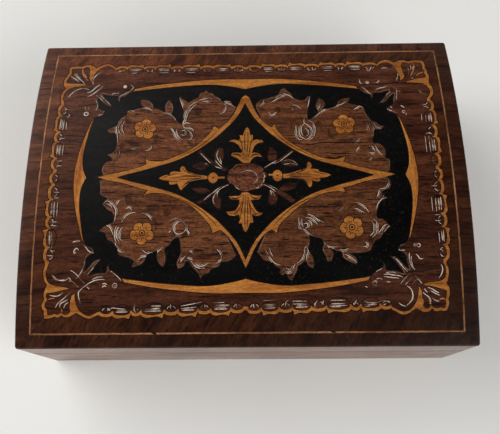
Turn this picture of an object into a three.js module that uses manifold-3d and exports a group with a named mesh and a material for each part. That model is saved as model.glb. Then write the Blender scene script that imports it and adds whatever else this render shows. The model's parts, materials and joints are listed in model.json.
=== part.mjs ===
// Marquetry stamp box with a gently arched hinged lid.
// Millimetres, +Z up, +X along the front, +Y towards the hinges.
// The origin is the middle of the underside.
import * as THREE from 'three';
import { mergeVertices } from 'three/addons/utils/BufferGeometryUtils.js';
import Module from 'manifold-3d';

const wasm = await Module();
wasm.setup();

// Driving dimensions of the whole box
const boxLength = 152;
const boxWidth = 114;
const bodyHeight = 27;
const lidEdgeHeight = 15.2;
const archRise = 7.5;
const partingGap = 0.3;
const wallThickness = 7.5;
const archFacets = 12;

// Clearances
const mitreGap = 0.1;
const glueGap = 0.1;
const fitGap = 0.15;
const sawKerf = 0.3;
const cutOverrun = 2;

// Body
const bottomThickness = 4;
const bottomRebateDepth = 3.5;
const dividerThickness = 3;
const dividerDrop = 3;
const scoopFloorLow = 1.5;
const scoopFloorHigh = 15;
const scoopFlatHalfWidth = 12;
const scoopSteps = 7;

// Lid
const lidBoardThickness = 3.4;
const lidLedgeDepth = 4.5;
const veneerThickness = 0.8;
const bandingWidthAlong = 4.6;
const bandingWidthAcross = 4.1;
const stringingWidth = 0.6;

// Hinges
const hingeLength = 22;
const hingeFromEnd = 32;
const hingeAxisInset = 1.9;
const leafThickness = 0.9;
const leafInset = 7;
const barrelRadius = 1.7;
const barrelClearance = 0.25;
const pinRadius = 0.8;
const pinClearance = 0.1;
const knuckleShare = 0.36;
const knuckleGap = 0.3;
const backBevelDegrees = 51;
const roundSides = 16;

// Screws
const screwHeadRadius = 1.25;
const screwHeadDepth = 0.65;
const screwShankRadius = 0.65;
const screwLength = 5.2;
const screwClearance = 0.1;
const screwFromEnd = 4;
const screwFromLeafEdge = 1.6;
const screwSlotWidth = 0.35;
const screwSlotDepth = 0.3;

// Places worked out from the sizes above
const halfLength = boxLength / 2;
const halfWidth = boxWidth / 2;
const innerHalfLength = halfLength - wallThickness;
const innerHalfWidth = halfWidth - wallThickness;
const lidBottom = bodyHeight + partingGap;
const lidEdgeTop = lidBottom + lidEdgeHeight;
const archRadius = (halfWidth ** 2 + archRise ** 2) / (2 * archRise);
const archCentre = lidEdgeTop + archRise - archRadius;
const hingeAxisY = halfWidth - hingeAxisInset;
const hingeAxisZ = bodyHeight + partingGap / 2;
const leafEdgeY = halfWidth - leafInset;
const underVeneer = veneerThickness + glueGap;
const underBoard = underVeneer + lidBoardThickness;

// Finishes
const finishes = {
  walnut: { color: 0x5a3a28, roughness: 0.45, metalness: 0 },
  walnutInside: { color: 0x6f4a32, roughness: 0.65, metalness: 0 },
  walnutFigure: { color: 0x7a5238, roughness: 0.42, metalness: 0 },
  boxwood: { color: 0xc8873c, roughness: 0.4, metalness: 0 },
  ebonised: { color: 0x1c1a1b, roughness: 0.4, metalness: 0 },
  stringing: { color: 0xb07a48, roughness: 0.45, metalness: 0 },
  brass: { color: 0xa8823e, roughness: 0.4, metalness: 1 },
};

const stampBox = new THREE.Group();

// Solids

// A closed three.js geometry as a solid that can be cut
function toSolid(geometry) {
  geometry.deleteAttribute('normal');
  geometry.deleteAttribute('uv');
  const merged = mergeVertices(geometry);
  const corners = merged.index.array;
  const triangles = [];
  for (let i = 0; i < corners.length; i += 3) {
    const triangle = [corners[i], corners[i + 1], corners[i + 2]];
    if (new Set(triangle).size === triangle.length) triangles.push(...triangle);
  }
  return new wasm.Manifold(new wasm.Mesh({
    numProp: 3,
    vertProperties: new Float32Array(merged.attributes.position.array),
    triVerts: new Uint32Array(triangles),
  }));
}

// A cut solid back as a three.js geometry
function toGeometry(solid) {
  const mesh = solid.getMesh();
  const geometry = new THREE.BufferGeometry();
  geometry.setAttribute('position', new THREE.BufferAttribute(mesh.vertProperties, mesh.numProp));
  geometry.setIndex(new THREE.BufferAttribute(mesh.triVerts, 1));
  geometry.computeVertexNormals();
  return geometry;
}

function addPiece(name, solid, finish) {
  const material = new THREE.MeshStandardMaterial(finishes[finish]);
  const piece = new THREE.Mesh(toGeometry(solid), material);
  piece.name = name;
  stampBox.add(piece);
}

function outlineShape(points) {
  return new THREE.Shape(points.map(([x, y]) => new THREE.Vector2(x, y)));
}

// An outline in plan, raised from one height to another
function prism(points, low, high) {
  const geometry = new THREE.ExtrudeGeometry(outlineShape(points), {
    depth: high - low,
    bevelEnabled: false,
  });
  geometry.translate(0, 0, low);
  return toSolid(geometry);
}

// A profile of [y, z] points carried along X, centred on middleX
function bar(profile, length, middleX) {
  const geometry = new THREE.ExtrudeGeometry(outlineShape(profile), {
    depth: length,
    bevelEnabled: false,
  });
  geometry.translate(0, 0, -length / 2);
  geometry.applyMatrix4(new THREE.Matrix4().set(
    0, 0, 1, middleX,
    1, 0, 0, 0,
    0, 1, 0, 0,
    0, 0, 0, 1,
  ));
  return toSolid(geometry);
}

function block(lowX, highX, lowY, highY, lowZ, highZ) {
  const geometry = new THREE.BoxGeometry(highX - lowX, highY - lowY, highZ - lowZ);
  geometry.translate((lowX + highX) / 2, (lowY + highY) / 2, (lowZ + highZ) / 2);
  return toSolid(geometry);
}

// A round bar along X on the hinge axis
function axisBar(radius, lowX, highX) {
  const geometry = new THREE.CylinderGeometry(radius, radius, highX - lowX, roundSides);
  geometry.rotateZ(Math.PI / 2);
  geometry.translate((lowX + highX) / 2, hingeAxisY, hingeAxisZ);
  return toSolid(geometry);
}

// A turned solid about Z from [radius, height] points that start and end on the axis
function turned(profile, x, y, z) {
  const points = profile.map(([radius, height]) => new THREE.Vector2(radius, height));
  const geometry = new THREE.LatheGeometry(points, roundSides);
  geometry.rotateX(Math.PI / 2);
  geometry.translate(x, y, z);
  return toSolid(geometry);
}

// Arch of the lid

function archHeight(y) {
  return archCentre + Math.sqrt(archRadius ** 2 - y ** 2);
}

// All below the arch, lowered by a depth, down to a floor height
function underArch(depth, low) {
  const profile = [[halfWidth, low], [-halfWidth, low]];
  for (let i = 0; i <= archFacets; i += 1) {
    const y = -halfWidth + (boxWidth * i) / archFacets;
    profile.push([y, archHeight(y) - depth]);
  }
  return bar(profile.reverse(), boxLength, 0);
}

// Body: four mitred walls, a bottom board let into them, two dividers and three scooped floors

// Plan of a mitred piece on the side that faces front, from the outside to a depth
function mitredPlan(alongHalf, acrossHalf, depth) {
  const gap = mitreGap / Math.SQRT2;
  return [
    [-alongHalf + gap, -acrossHalf],
    [alongHalf - gap, -acrossHalf],
    [alongHalf - depth - gap, -acrossHalf + depth],
    [-alongHalf + depth + gap, -acrossHalf + depth],
  ];
}

function turnHalf(points) {
  return points.map(([x, y]) => [-x, -y]);
}

function turnLeft(points) {
  return points.map(([x, y]) => [y, -x]);
}

// The four sides of a mitred frame, by name
function mitredSides(along, across, depth) {
  const front = mitredPlan(along, across, depth);
  const left = turnLeft(mitredPlan(across, along, depth));
  return { front, back: turnHalf(front), left, right: turnHalf(left) };
}

// The bevel behind the hinge axis that lets the lid swing and then stops it
function backBevel(side) {
  const reach = hingeAxisInset + cutOverrun;
  const drop = reach * Math.tan(THREE.MathUtils.degToRad(backBevelDegrees));
  const profile = [
    [hingeAxisY, hingeAxisZ],
    [hingeAxisY + reach, hingeAxisZ],
    [hingeAxisY + reach, hingeAxisZ + side * drop],
  ];
  return bar(profile, boxLength + cutOverrun, 0);
}

const hingeMiddles = { left: hingeFromEnd - halfLength, right: halfLength - hingeFromEnd };

// The body's side of the parting line is -1 and the lid's side is 1
const bodySide = -1;
const lidSide = 1;

function partingFace(side) {
  return side === bodySide ? bodyHeight : lidBottom;
}

// The heights of what is let into the wood from its parting face, from an overrun outside to a depth
function letIn(side, overrun, depth) {
  const heights = [partingFace(side) - side * overrun, partingFace(side) + side * depth];
  return [Math.min(...heights), Math.max(...heights)];
}

// The pocket for a leaf and the groove for the barrel, cut in the wood
function leafPocket(middleX, side) {
  const reach = hingeLength / 2 + fitGap;
  const [low, high] = letIn(side, cutOverrun, leafThickness + fitGap);
  const edgeY = leafEdgeY - fitGap;
  const pocket = block(middleX - reach, middleX + reach, edgeY, halfWidth + cutOverrun, low, high);
  return pocket.add(axisBar(barrelRadius + barrelClearance, middleX - reach, middleX + reach));
}

// Where each leaf has its two screws
function screwPlaces(middleX) {
  const reach = hingeLength / 2 - screwFromEnd;
  return [middleX - reach, middleX + reach];
}

const screwY = leafEdgeY + screwFromLeafEdge;

// A countersunk screw that points down into the body, or up into the lid
function screw(x, side, clearance) {
  const head = screwHeadRadius + clearance;
  const shank = screwShankRadius + clearance;
  const profile = [
    [0, 0],
    [head, 0],
    [shank, screwHeadDepth],
    [shank, screwLength + clearance],
    [0, screwLength + clearance],
  ];
  const placed = profile.map(([radius, height]) => [radius, side * height]);
  if (side === bodySide) placed.reverse();
  return turned(placed, x, screwY, partingFace(side));
}

function screwSlot(x, side) {
  const [low, high] = letIn(side, cutOverrun, screwSlotDepth);
  const reach = screwHeadRadius + cutOverrun;
  const half = screwSlotWidth / 2;
  return block(x - half, x + half, screwY - reach, screwY + reach, low, high);
}

// All that a wooden back piece gives up for both hinges
function cutForHinges(wood, side) {
  let result = wood.subtract(backBevel(side));
  for (const middleX of Object.values(hingeMiddles)) {
    result = result.subtract(leafPocket(middleX, side));
    for (const x of screwPlaces(middleX)) {
      result = result.subtract(screw(x, side, screwClearance));
    }
  }
  return result;
}

const wallPlans = mitredSides(halfLength, halfWidth, wallThickness);
const bottomHalfLength = innerHalfLength + bottomRebateDepth;
const bottomHalfWidth = innerHalfWidth + bottomRebateDepth;
const bottomRebate = block(
  -bottomHalfLength,
  bottomHalfLength,
  -bottomHalfWidth,
  bottomHalfWidth,
  -cutOverrun,
  bottomThickness + fitGap,
);
for (const [side, plan] of Object.entries(wallPlans)) {
  const wall = prism(plan, 0, bodyHeight).subtract(bottomRebate);
  addPiece(`${side}_wall`, side === 'front' ? wall : cutForHinges(wall, bodySide), 'walnut');
}
addPiece('bottom_board', block(
  -bottomHalfLength + fitGap,
  bottomHalfLength - fitGap,
  -bottomHalfWidth + fitGap,
  bottomHalfWidth - fitGap,
  0,
  bottomThickness,
), 'walnutInside');

// Three compartments side by side
const compartments = ['left', 'middle', 'right'];
const dividers = ['left', 'right'];
const compartmentLength = (2 * innerHalfLength - dividers.length * dividerThickness) / compartments.length;
const compartmentPitch = compartmentLength + dividerThickness;
const insideHalfWidth = innerHalfWidth - fitGap;
const insideFloor = bottomThickness + fitGap;
dividers.forEach((side, i) => {
  const lowX = -innerHalfLength + compartmentLength + i * compartmentPitch;
  addPiece(`${side}_divider`, block(
    lowX,
    lowX + dividerThickness,
    -insideHalfWidth,
    insideHalfWidth,
    insideFloor,
    bodyHeight - dividerDrop,
  ), 'walnutInside');
});

// A scooped floor rises from a flat middle to the front and the back, so a stamp slides up to the hand
const scoopRun = insideHalfWidth - scoopFlatHalfWidth;
const scoopEnd = Array.from({ length: scoopSteps + 1 }, (_, i) => {
  const towardsWall = i / scoopSteps;
  const rise = (scoopFloorHigh - scoopFloorLow) * (1 - Math.sqrt(1 - towardsWall ** 2));
  return [scoopFlatHalfWidth + scoopRun * towardsWall, insideFloor + scoopFloorLow + rise];
});
const scoopProfile = [
  [-insideHalfWidth, insideFloor],
  [insideHalfWidth, insideFloor],
  ...scoopEnd.toReversed(),
  ...scoopEnd.map(([y, z]) => [-y, z]),
];
compartments.forEach((side, i) => {
  const middleX = -innerHalfLength + compartmentLength / 2 + i * compartmentPitch;
  const floor = bar(scoopProfile, compartmentLength - 2 * fitGap, middleX);
  addPiece(`${side}_scooped_floor`, floor, 'walnutInside');
});

// Hinges: each has a leaf in the body, a leaf in the lid, a pin and four screws

const knuckleLength = hingeLength * knuckleShare;

// A leaf is a plate and its knuckles, cut back round the knuckles of the other leaf
function hingeLeaf(middleX, side) {
  const reach = hingeLength / 2;
  const [low, high] = letIn(side, 0, leafThickness);
  const plate = block(middleX - reach, middleX + reach, leafEdgeY, hingeAxisY, low, high);
  const centreReach = knuckleLength / 2;
  const centre = [middleX - centreReach, middleX + centreReach];
  const outer = [
    [middleX - reach, centre[0] - knuckleGap],
    [centre[1] + knuckleGap, middleX + reach],
  ];
  const own = side === bodySide ? outer : [centre];
  const other = side === bodySide ? [centre] : outer;
  let leaf = plate;
  for (const [lowX, highX] of other) {
    const swept = axisBar(barrelRadius + barrelClearance, lowX - knuckleGap, highX + knuckleGap);
    leaf = leaf.subtract(swept);
  }
  for (const [lowX, highX] of own) {
    leaf = leaf.add(axisBar(barrelRadius, lowX, highX));
  }
  const bore = reach + cutOverrun;
  leaf = leaf.subtract(axisBar(pinRadius + pinClearance, middleX - bore, middleX + bore));
  for (const x of screwPlaces(middleX)) {
    leaf = leaf.subtract(screw(x, side, screwClearance));
  }
  return leaf;
}

for (const [place, middleX] of Object.entries(hingeMiddles)) {
  const reach = hingeLength / 2;
  addPiece(`${place}_hinge_pin`, axisBar(pinRadius, middleX - reach, middleX + reach), 'brass');
  for (const [leaf, side] of [['body', bodySide], ['lid', lidSide]]) {
    addPiece(`${place}_hinge_${leaf}_leaf`, hingeLeaf(middleX, side), 'brass');
    screwPlaces(middleX).forEach((x, i) => {
      const slotted = screw(x, side, 0).subtract(screwSlot(x, side));
      addPiece(`${place}_hinge_${leaf}_screw_${i + 1}`, slotted, 'brass');
    });
  }
}

// Lid: four mitred rails with a ledge that carries an arched board

const boardHalfLength = innerHalfLength + lidLedgeDepth;
const boardHalfWidth = innerHalfWidth + lidLedgeDepth;
const underVeneerSolid = underArch(underVeneer, lidBottom);
const boardPocket = block(
  -boardHalfLength,
  boardHalfLength,
  -boardHalfWidth,
  boardHalfWidth,
  lidBottom,
  lidEdgeTop + archRise,
).subtract(underArch(underBoard + fitGap, -cutOverrun));
for (const [side, plan] of Object.entries(wallPlans)) {
  const rail = prism(plan, lidBottom, lidEdgeTop + archRise)
    .intersect(underVeneerSolid)
    .subtract(boardPocket);
  addPiece(`lid_${side}_rail`, side === 'front' ? rail : cutForHinges(rail, lidSide), 'walnut');
}
addPiece('lid_board', block(
  -boardHalfLength + fitGap,
  boardHalfLength - fitGap,
  -boardHalfWidth + fitGap,
  boardHalfWidth - fitGap,
  lidBottom,
  lidEdgeTop + archRise,
).intersect(underVeneerSolid).subtract(underArch(underBoard, -cutOverrun)), 'walnutInside');

// Marquetry: one sheet of sawn pieces laid on the arch

const veneerTop = lidEdgeTop + archRise + cutOverrun;
const veneerLow = lidBottom - cutOverrun;
const veneerLayer = underArch(0, lidBottom).subtract(underArch(veneerThickness, veneerLow));
const mitreLimitShare = 0.5;

// Moves every side of a closed outline outwards by a distance, or inwards if it is negative
function moveOutline(points, distance) {
  const count = points.length;
  const next = (i) => points[(i + 1) % count];
  const area = points.reduce((sum, [x, y], i) => sum + x * next(i)[1] - next(i)[0] * y, 0);
  const outward = Math.sign(area) * distance;
  return points.map(([x, y], i) => {
    const here = new THREE.Vector2(x, y);
    const arriving = here.clone().sub(new THREE.Vector2(...points[(i + count - 1) % count])).normalize();
    const leaving = new THREE.Vector2(...next(i)).sub(here).normalize();
    const across = new THREE.Vector2(arriving.y + leaving.y, -arriving.x - leaving.x);
    const sharpness = Math.max(across.length() / 2, mitreLimitShare);
    across.normalize().multiplyScalar(outward / sharpness);
    return [x + across.x, y + across.y];
  });
}

// A piece of the sheet inside one outline and outside others, with half a saw cut off every side
function sawn(outline, holes) {
  const blank = prism(moveOutline(outline, -sawKerf / 2), lidBottom, veneerTop);
  let piece = veneerLayer.intersect(blank);
  for (const hole of holes) {
    piece = piece.subtract(prism(moveOutline(hole, sawKerf / 2), veneerLow, veneerTop + cutOverrun));
  }
  return piece;
}

// Straight strips between two rectangles, mitred at the corners
function stripPlans(outerLength, outerWidth, innerLength, innerWidth) {
  const gap = mitreGap / 2;
  const front = [
    [-outerLength + gap, -outerWidth],
    [outerLength - gap, -outerWidth],
    [innerLength - gap, -innerWidth],
    [-innerLength + gap, -innerWidth],
  ];
  const left = [
    [-outerLength, outerWidth - gap],
    [-outerLength, -outerWidth + gap],
    [-innerLength, -innerWidth + gap],
    [-innerLength, innerWidth - gap],
  ];
  return { front, back: turnHalf(front), left, right: turnHalf(left) };
}

const fieldHalfLength = halfLength - bandingWidthAlong - stringingWidth;
const fieldHalfWidth = halfWidth - bandingWidthAcross - stringingWidth;
const halfGlue = glueGap / 2;
const bandings = stripPlans(
  halfLength,
  halfWidth,
  halfLength - bandingWidthAlong + halfGlue,
  halfWidth - bandingWidthAcross + halfGlue,
);
const stringings = stripPlans(
  halfLength - bandingWidthAlong - halfGlue,
  halfWidth - bandingWidthAcross - halfGlue,
  fieldHalfLength + halfGlue,
  fieldHalfWidth + halfGlue,
);
for (const side of Object.keys(bandings)) {
  const banding = veneerLayer.intersect(prism(bandings[side], lidBottom, veneerTop));
  const stringing = veneerLayer.intersect(prism(stringings[side], lidBottom, veneerTop));
  addPiece(`${side}_banding`, banding, 'walnut');
  addPiece(`${side}_stringing`, stringing, 'stringing');
}

// The ornament is drawn on squares, counted from the middle of the field to its edges
const squaresAlongShare = 71;
const squaresAcrossShare = 52.5;
const squareAlong = fieldHalfLength / squaresAlongShare;
const squareAcross = fieldHalfWidth / squaresAcrossShare;

// Mirrors a run of squares from left to right, so that it closes on the middle line
function mirrored(shares) {
  const left = shares.filter(([x]) => x > 0).map(([x, y]) => [-x, y]).reverse();
  return [...shares, ...left];
}

// A quarter from the middle of the back to the middle of the right end, as a whole loop
function wholeLoop(quarterShares) {
  const front = quarterShares.filter(([, y]) => y > 0).map(([x, y]) => [x, -y]).reverse();
  return mirrored([...quarterShares, ...front]);
}

// Squares to millimetres, mirrored to any quarter
function drawn(shares, signX = 1, signY = 1) {
  return shares.map(([x, y]) => [signX * x * squareAlong, signY * y * squareAcross]);
}

// Scallops of the border between stated ends, each with a flat crest and sloping shoulders
function scallops(endShares, dipShare, crestShare, shoulderShare) {
  return endShares.slice(0, -1).flatMap((start, i) => {
    const end = endShares[i + 1];
    const shoulder = shoulderShare * Math.sign(end - start);
    return [[start, dipShare], [start + shoulder, crestShare], [end - shoulder, crestShare]];
  });
}

const swapped = ([x, y]) => [y, x];
const backEndShares = [0.4, 4.4, 11.4, 15.3, 22.3, 26.2, 33.2, 37.1, 44.1, 48.2];
const sideEndShares = [28.9, 25, 18.3, 14.4, 7.7, 3.8, 0.2];

const borderOuterShares = [
  [0, 45.9],
  ...scallops(backEndShares, 45.9, 47.1, 0.8),
  [48.2, 45.9], [49.4, 47.2], [52, 48], [54.2, 47.2], [55.9, 46], [57.2, 47], [59.3, 47.5],
  [61.2, 46.6], [65.5, 46.6], [65.9, 43.6], [66.9, 40.6], [67, 38.4], [66, 36.8],
  [67.1, 34.6], [67.4, 32.2], [66.8, 29.6],
  ...scallops(sideEndShares, 66.9, 68, 0.8).map(swapped),
  [66.9, 0],
];
const borderInnerShares = [
  [0, 44.8],
  ...scallops(backEndShares, 44.8, 45.9, 1.3),
  [48.4, 44.8], [49.8, 46], [52, 46.8], [54.1, 46], [55.8, 43.6], [56.3, 41], [56.3, 39],
  [57.2, 39.4], [58.3, 40.8], [58, 42.2], [58.6, 44.6], [58.5, 46], [60.2, 45.8], [64.6, 45.5],
  [64.7, 43.4], [65.7, 40.4], [62.4, 39.3], [59, 38.2], [58.2, 37.6], [61, 37], [63.8, 35.9],
  [65.6, 34.2], [66.1, 32.2], [65.6, 29.8],
  ...scallops(sideEndShares, 65.7, 66.8, 1.3).map(swapped),
  [65.7, 0],
];

// The jaws of the two heads at a corner, with the ribbon's tail between them
const jawShares = [
  [41.4, 34.6], [43.4, 32.9], [45.2, 31.9], [45.6, 30.1], [46.3, 31.6], [46.4, 32.6], [49.2, 33],
  [52.2, 34], [50.2, 31], [48, 28.4], [49.8, 28.6], [52.6, 31.4], [53.9, 32.6], [53.3, 30.4],
  [53, 28], [50.6, 26.4], [51, 25], [53.4, 23.8],
];
const backCrescentOuterShares = [[0, 40], [12, 40], [22, 39.1], [32, 37.8], [40.4, 36.2]];
const backCrescentInnerShares = [[0, 35.3], [5, 36.5], [12, 37.5], [22, 37.1], [32, 36.1], [40.4, 35]];
const sideCrescentOuterShares = [[55, 22], [57, 15], [58.5, 8], [59.2, 0]];
const sideCrescentInnerShares = [[54.6, 21.6], [55.8, 15], [56.6, 8], [56.2, 3.5], [54.8, 0]];
const friezeInnerShares = [...backCrescentOuterShares, ...jawShares, ...sideCrescentOuterShares];
const groundOuterShares = [...backCrescentInnerShares, ...jawShares, ...sideCrescentInnerShares];

// The curved diamond, with two small barbs on each side
const diamondOuterShares = [
  [0, 32.5], [1.5, 29.4], [5, 22.6], [9.3, 18.2], [10.9, 19.8], [11.6, 18], [14.5, 14.4],
  [19.5, 10], [25, 7.5], [31, 5.9], [33.9, 6.2], [35, 7.3], [34.6, 4.4], [40, 2.4], [45, 1.2], [51, 0],
];
const diamondInnerShares = [
  [0, 29], [3.3, 22.5], [7.2, 17.4], [11.6, 12.6], [15.5, 10], [20, 7.5], [25.5, 5], [34, 2.4], [42, 0],
];

// A leafy spandrel between the diamond and the black ground, in the back right quarter
const spandrelShares = [
  [2.4, 26.4], [3.3, 27.6], [5.4, 29.9], [8, 30.2], [9.6, 31.6], [11.8, 33], [14.4, 35.6],
  [15.8, 34], [17.2, 32.4], [19.6, 30.2], [21.5, 30.6], [23.8, 32.4], [23.6, 30], [22.4, 26.6],
  [22.4, 21.4], [24.2, 22], [26.4, 24.8], [25.9, 27.8], [27.4, 31], [29, 28.4], [29, 25.8],
  [32.8, 27.6], [34.4, 30.2], [38, 31.2], [37, 28.4], [42, 26.8], [43.2, 24.4], [45.4, 21.6],
  [49.2, 18.8], [46.4, 16.8], [45, 14.2], [45.6, 11.4], [48.4, 9.2], [47.4, 7], [49.6, 5.2],
  [49.8, 2], [48, 0.3], [34, 3.2], [18, 9.8], [7.4, 18.4],
];
const flowerCentreShares = [35.3, 19.3];
const flowerPetals = 5;
const flowerTipShare = 4;
const flowerNotchShare = 3.2;

// Half of a fleur-de-lis, as squares out from the middle and squares to one side
const shortFleurShares = [
  [5.4, 0.7], [6.9, 2.3], [7.3, 4.6], [8.4, 5.1], [9.2, 4], [9.2, 1.4], [11, 1.8], [12.4, 3],
  [12.8, 5.6], [13.8, 5.4], [14.2, 4], [13.4, 2.1], [15.3, 2.3], [15.9, 1.2], [19.2, 0],
];
const longFleurShares = [
  [9.3, 0.6], [10, 1.6], [11.2, 1.9], [12.4, 1.5], [13.2, 0.9], [16.5, 1.2], [19.4, 2],
  [20.6, 3.8], [21.8, 4.5], [22.8, 3.9], [22.9, 2.4], [25.6, 2], [26.2, 1.1], [30, 0],
];

// The oval rosette with a leafy spray at each corner
const rosetteShares = [
  [0, 4.7], [1.6, 4.9], [3.4, 4.3], [4.8, 4.2], [6.2, 5], [8, 7], [7.7, 9.6], [9, 10.9],
  [10.6, 9.4], [10.6, 7.4], [10, 6.1], [12, 6.8], [14.8, 8.8], [15.3, 8.2], [13.4, 6], [15.6, 5.6],
  [18.2, 4.4], [17.4, 3.2], [14.5, 2.9], [12.6, 4.2], [10.4, 4], [8, 3], [6.6, 2.2], [7, 0],
];

const corners = [
  ['back_left', -1, 1],
  ['back_right', 1, 1],
  ['front_left', -1, -1],
  ['front_right', 1, -1],
];
const ends = [['back', 1], ['front', -1]];
const sides = [['right', 1], ['left', -1]];

const fieldOutline = [
  [-fieldHalfLength, -fieldHalfWidth],
  [fieldHalfLength, -fieldHalfWidth],
  [fieldHalfLength, fieldHalfWidth],
  [-fieldHalfLength, fieldHalfWidth],
];
const borderOuter = drawn(wholeLoop(borderOuterShares));
const borderInner = drawn(wholeLoop(borderInnerShares));
const friezeInner = drawn(wholeLoop(friezeInnerShares));
const groundOuter = drawn(wholeLoop(groundOuterShares));
const diamondOuter = drawn(wholeLoop(diamondOuterShares));
const diamondInner = drawn(wholeLoop(diamondInnerShares));
const rosette = drawn(wholeLoop(rosetteShares));

addPiece('outer_field', sawn(fieldOutline, [borderOuter]), 'walnut');
addPiece('scalloped_border', sawn(borderOuter, [borderInner]), 'boxwood');
addPiece('walnut_frieze', sawn(borderInner, [friezeInner]), 'walnutFigure');

const backCrescent = mirrored([
  ...backCrescentOuterShares,
  jawShares[0],
  ...backCrescentInnerShares.toReversed(),
]);
for (const [end, signY] of ends) {
  addPiece(`${end}_crescent`, sawn(drawn(backCrescent, 1, signY), []), 'boxwood');
}
const rightCrescent = mirrored([
  ...sideCrescentOuterShares.toReversed(),
  jawShares.at(-1),
  ...sideCrescentInnerShares,
].map(swapped)).map(swapped);
for (const [side, signX] of sides) {
  addPiece(`${side}_crescent`, sawn(drawn(rightCrescent, signX, 1), []), 'boxwood');
}

const spandrels = corners.map(([, signX, signY]) => drawn(spandrelShares, signX, signY));
addPiece('black_ground', sawn(groundOuter, [diamondOuter, ...spandrels]), 'ebonised');

const flower = Array.from({ length: 2 * flowerPetals }, (_, i) => {
  const reach = i % 2 === 0 ? flowerTipShare : flowerNotchShare;
  const angle = (Math.PI * i) / flowerPetals;
  return [flowerCentreShares[0] + reach * Math.sin(angle), flowerCentreShares[1] + reach * Math.cos(angle)];
});
corners.forEach(([corner, signX, signY], i) => {
  const flowerOutline = drawn(flower, signX, signY);
  addPiece(`${corner}_spandrel`, sawn(spandrels[i], [diamondOuter, flowerOutline]), 'walnutFigure');
  addPiece(`${corner}_flower`, sawn(flowerOutline, []), 'boxwood');
});

addPiece('diamond_frame', sawn(diamondOuter, [diamondInner]), 'boxwood');

const shortFleur = mirrored(shortFleurShares.map(swapped));
const longFleur = mirrored(longFleurShares.map(swapped)).map(swapped);
const fleurs = [
  ...ends.map(([end, signY]) => [end, drawn(shortFleur, 1, signY)]),
  ...sides.map(([side, signX]) => [side, drawn(longFleur, signX, 1)]),
];
for (const [place, outline] of fleurs) {
  addPiece(`${place}_fleur`, sawn(outline, []), 'boxwood');
}
addPiece('rosette', sawn(rosette, []), 'walnutFigure');
addPiece('inner_ground', sawn(diamondInner, [rosette, ...fleurs.map(([, outline]) => outline)]), 'ebonised');

export default stampBox;
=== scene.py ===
# Stamp box with a marquetry lid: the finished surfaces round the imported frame.
import json
import math
import bpy
import numpy as np
from mathutils import Matrix, Vector
from mathutils.geometry import delaunay_2d_cdt

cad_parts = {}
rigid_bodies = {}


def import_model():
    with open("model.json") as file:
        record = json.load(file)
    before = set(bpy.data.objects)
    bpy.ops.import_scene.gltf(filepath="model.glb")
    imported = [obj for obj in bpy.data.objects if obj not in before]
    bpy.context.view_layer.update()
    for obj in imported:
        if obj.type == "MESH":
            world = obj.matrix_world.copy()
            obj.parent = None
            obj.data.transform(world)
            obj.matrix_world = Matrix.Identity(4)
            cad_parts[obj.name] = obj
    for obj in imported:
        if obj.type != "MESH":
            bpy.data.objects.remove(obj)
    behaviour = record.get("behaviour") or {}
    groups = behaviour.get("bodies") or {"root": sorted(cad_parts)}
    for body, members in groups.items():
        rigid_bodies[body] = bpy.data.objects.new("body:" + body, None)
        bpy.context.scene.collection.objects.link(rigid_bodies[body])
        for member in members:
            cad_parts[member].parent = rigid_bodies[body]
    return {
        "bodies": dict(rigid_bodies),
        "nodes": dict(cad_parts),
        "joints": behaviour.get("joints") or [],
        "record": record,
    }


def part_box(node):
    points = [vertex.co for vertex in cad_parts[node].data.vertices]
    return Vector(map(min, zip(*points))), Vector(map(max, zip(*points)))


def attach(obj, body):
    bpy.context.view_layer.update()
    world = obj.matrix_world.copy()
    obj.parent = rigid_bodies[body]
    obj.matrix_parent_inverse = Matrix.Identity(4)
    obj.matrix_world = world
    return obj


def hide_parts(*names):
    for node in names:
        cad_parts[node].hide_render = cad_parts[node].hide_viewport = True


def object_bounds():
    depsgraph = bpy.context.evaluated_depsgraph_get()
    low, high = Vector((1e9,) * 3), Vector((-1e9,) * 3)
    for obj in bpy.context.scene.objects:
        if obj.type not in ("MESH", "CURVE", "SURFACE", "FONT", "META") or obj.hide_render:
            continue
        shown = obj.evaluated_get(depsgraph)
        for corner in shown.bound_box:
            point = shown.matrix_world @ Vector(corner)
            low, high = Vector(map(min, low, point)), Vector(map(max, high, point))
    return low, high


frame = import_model()
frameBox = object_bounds()
mm = 0.001  # everything below is worked out in millimetres


# The low and the high corner of a node's box, in millimetres.
def nodeBox(name):
    low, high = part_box(name)
    return np.array(low) / mm, np.array(high) / mm


# Sizes that follow from the frame
boxHalf = np.array(frameBox[1])[:2] / mm  # half the length and half the width of the lid
lidTop = frameBox[1][2] / mm
bodyTop = nodeBox("front_wall")[1][2]
lidBottom = nodeBox("lid_front_rail")[0][2]
wall = nodeBox("front_wall")[1][1] + boxHalf[1]
veneer = 0.8  # thickness of the sawn sheet
glueLine = 0.06  # what shows between wood and wood
edgeTop = nodeBox("front_banding")[0][2] + veneer
rise = lidTop - edgeTop
archRadius = (boxHalf[1] ** 2 + rise ** 2) / (2 * rise)


# The lid's arch: a circle through the two long edges and the ridge.
def archHeight(y):
    return lidTop - archRadius + np.sqrt(archRadius ** 2 - np.minimum(np.abs(y), boxHalf[1]) ** 2)


# Meshes

# One finished piece: its mesh in place, its materials, the body it rides on, its slot, which is not used, and
# its nodes.
def addPiece(name, points, faces, materials, body, slot, nodes, sharp=35, faceMaterials=None):
    mesh = bpy.data.meshes.new(name)
    mesh.from_pydata((np.asarray(points, float) * mm).tolist(), [], faces)
    for material in materials:
        mesh.materials.append(material)
    if faceMaterials is not None:
        mesh.polygons.foreach_set("material_index", np.asarray(faceMaterials, np.int32))
    mesh.validate()
    mesh.shade_smooth()
    mesh.set_sharp_from_angle(angle=math.radians(sharp))
    piece = bpy.data.objects.new(name, mesh)
    bpy.context.scene.collection.objects.link(piece)
    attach(piece, body)
    if nodes:
        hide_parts(*nodes)
    return piece


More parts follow.
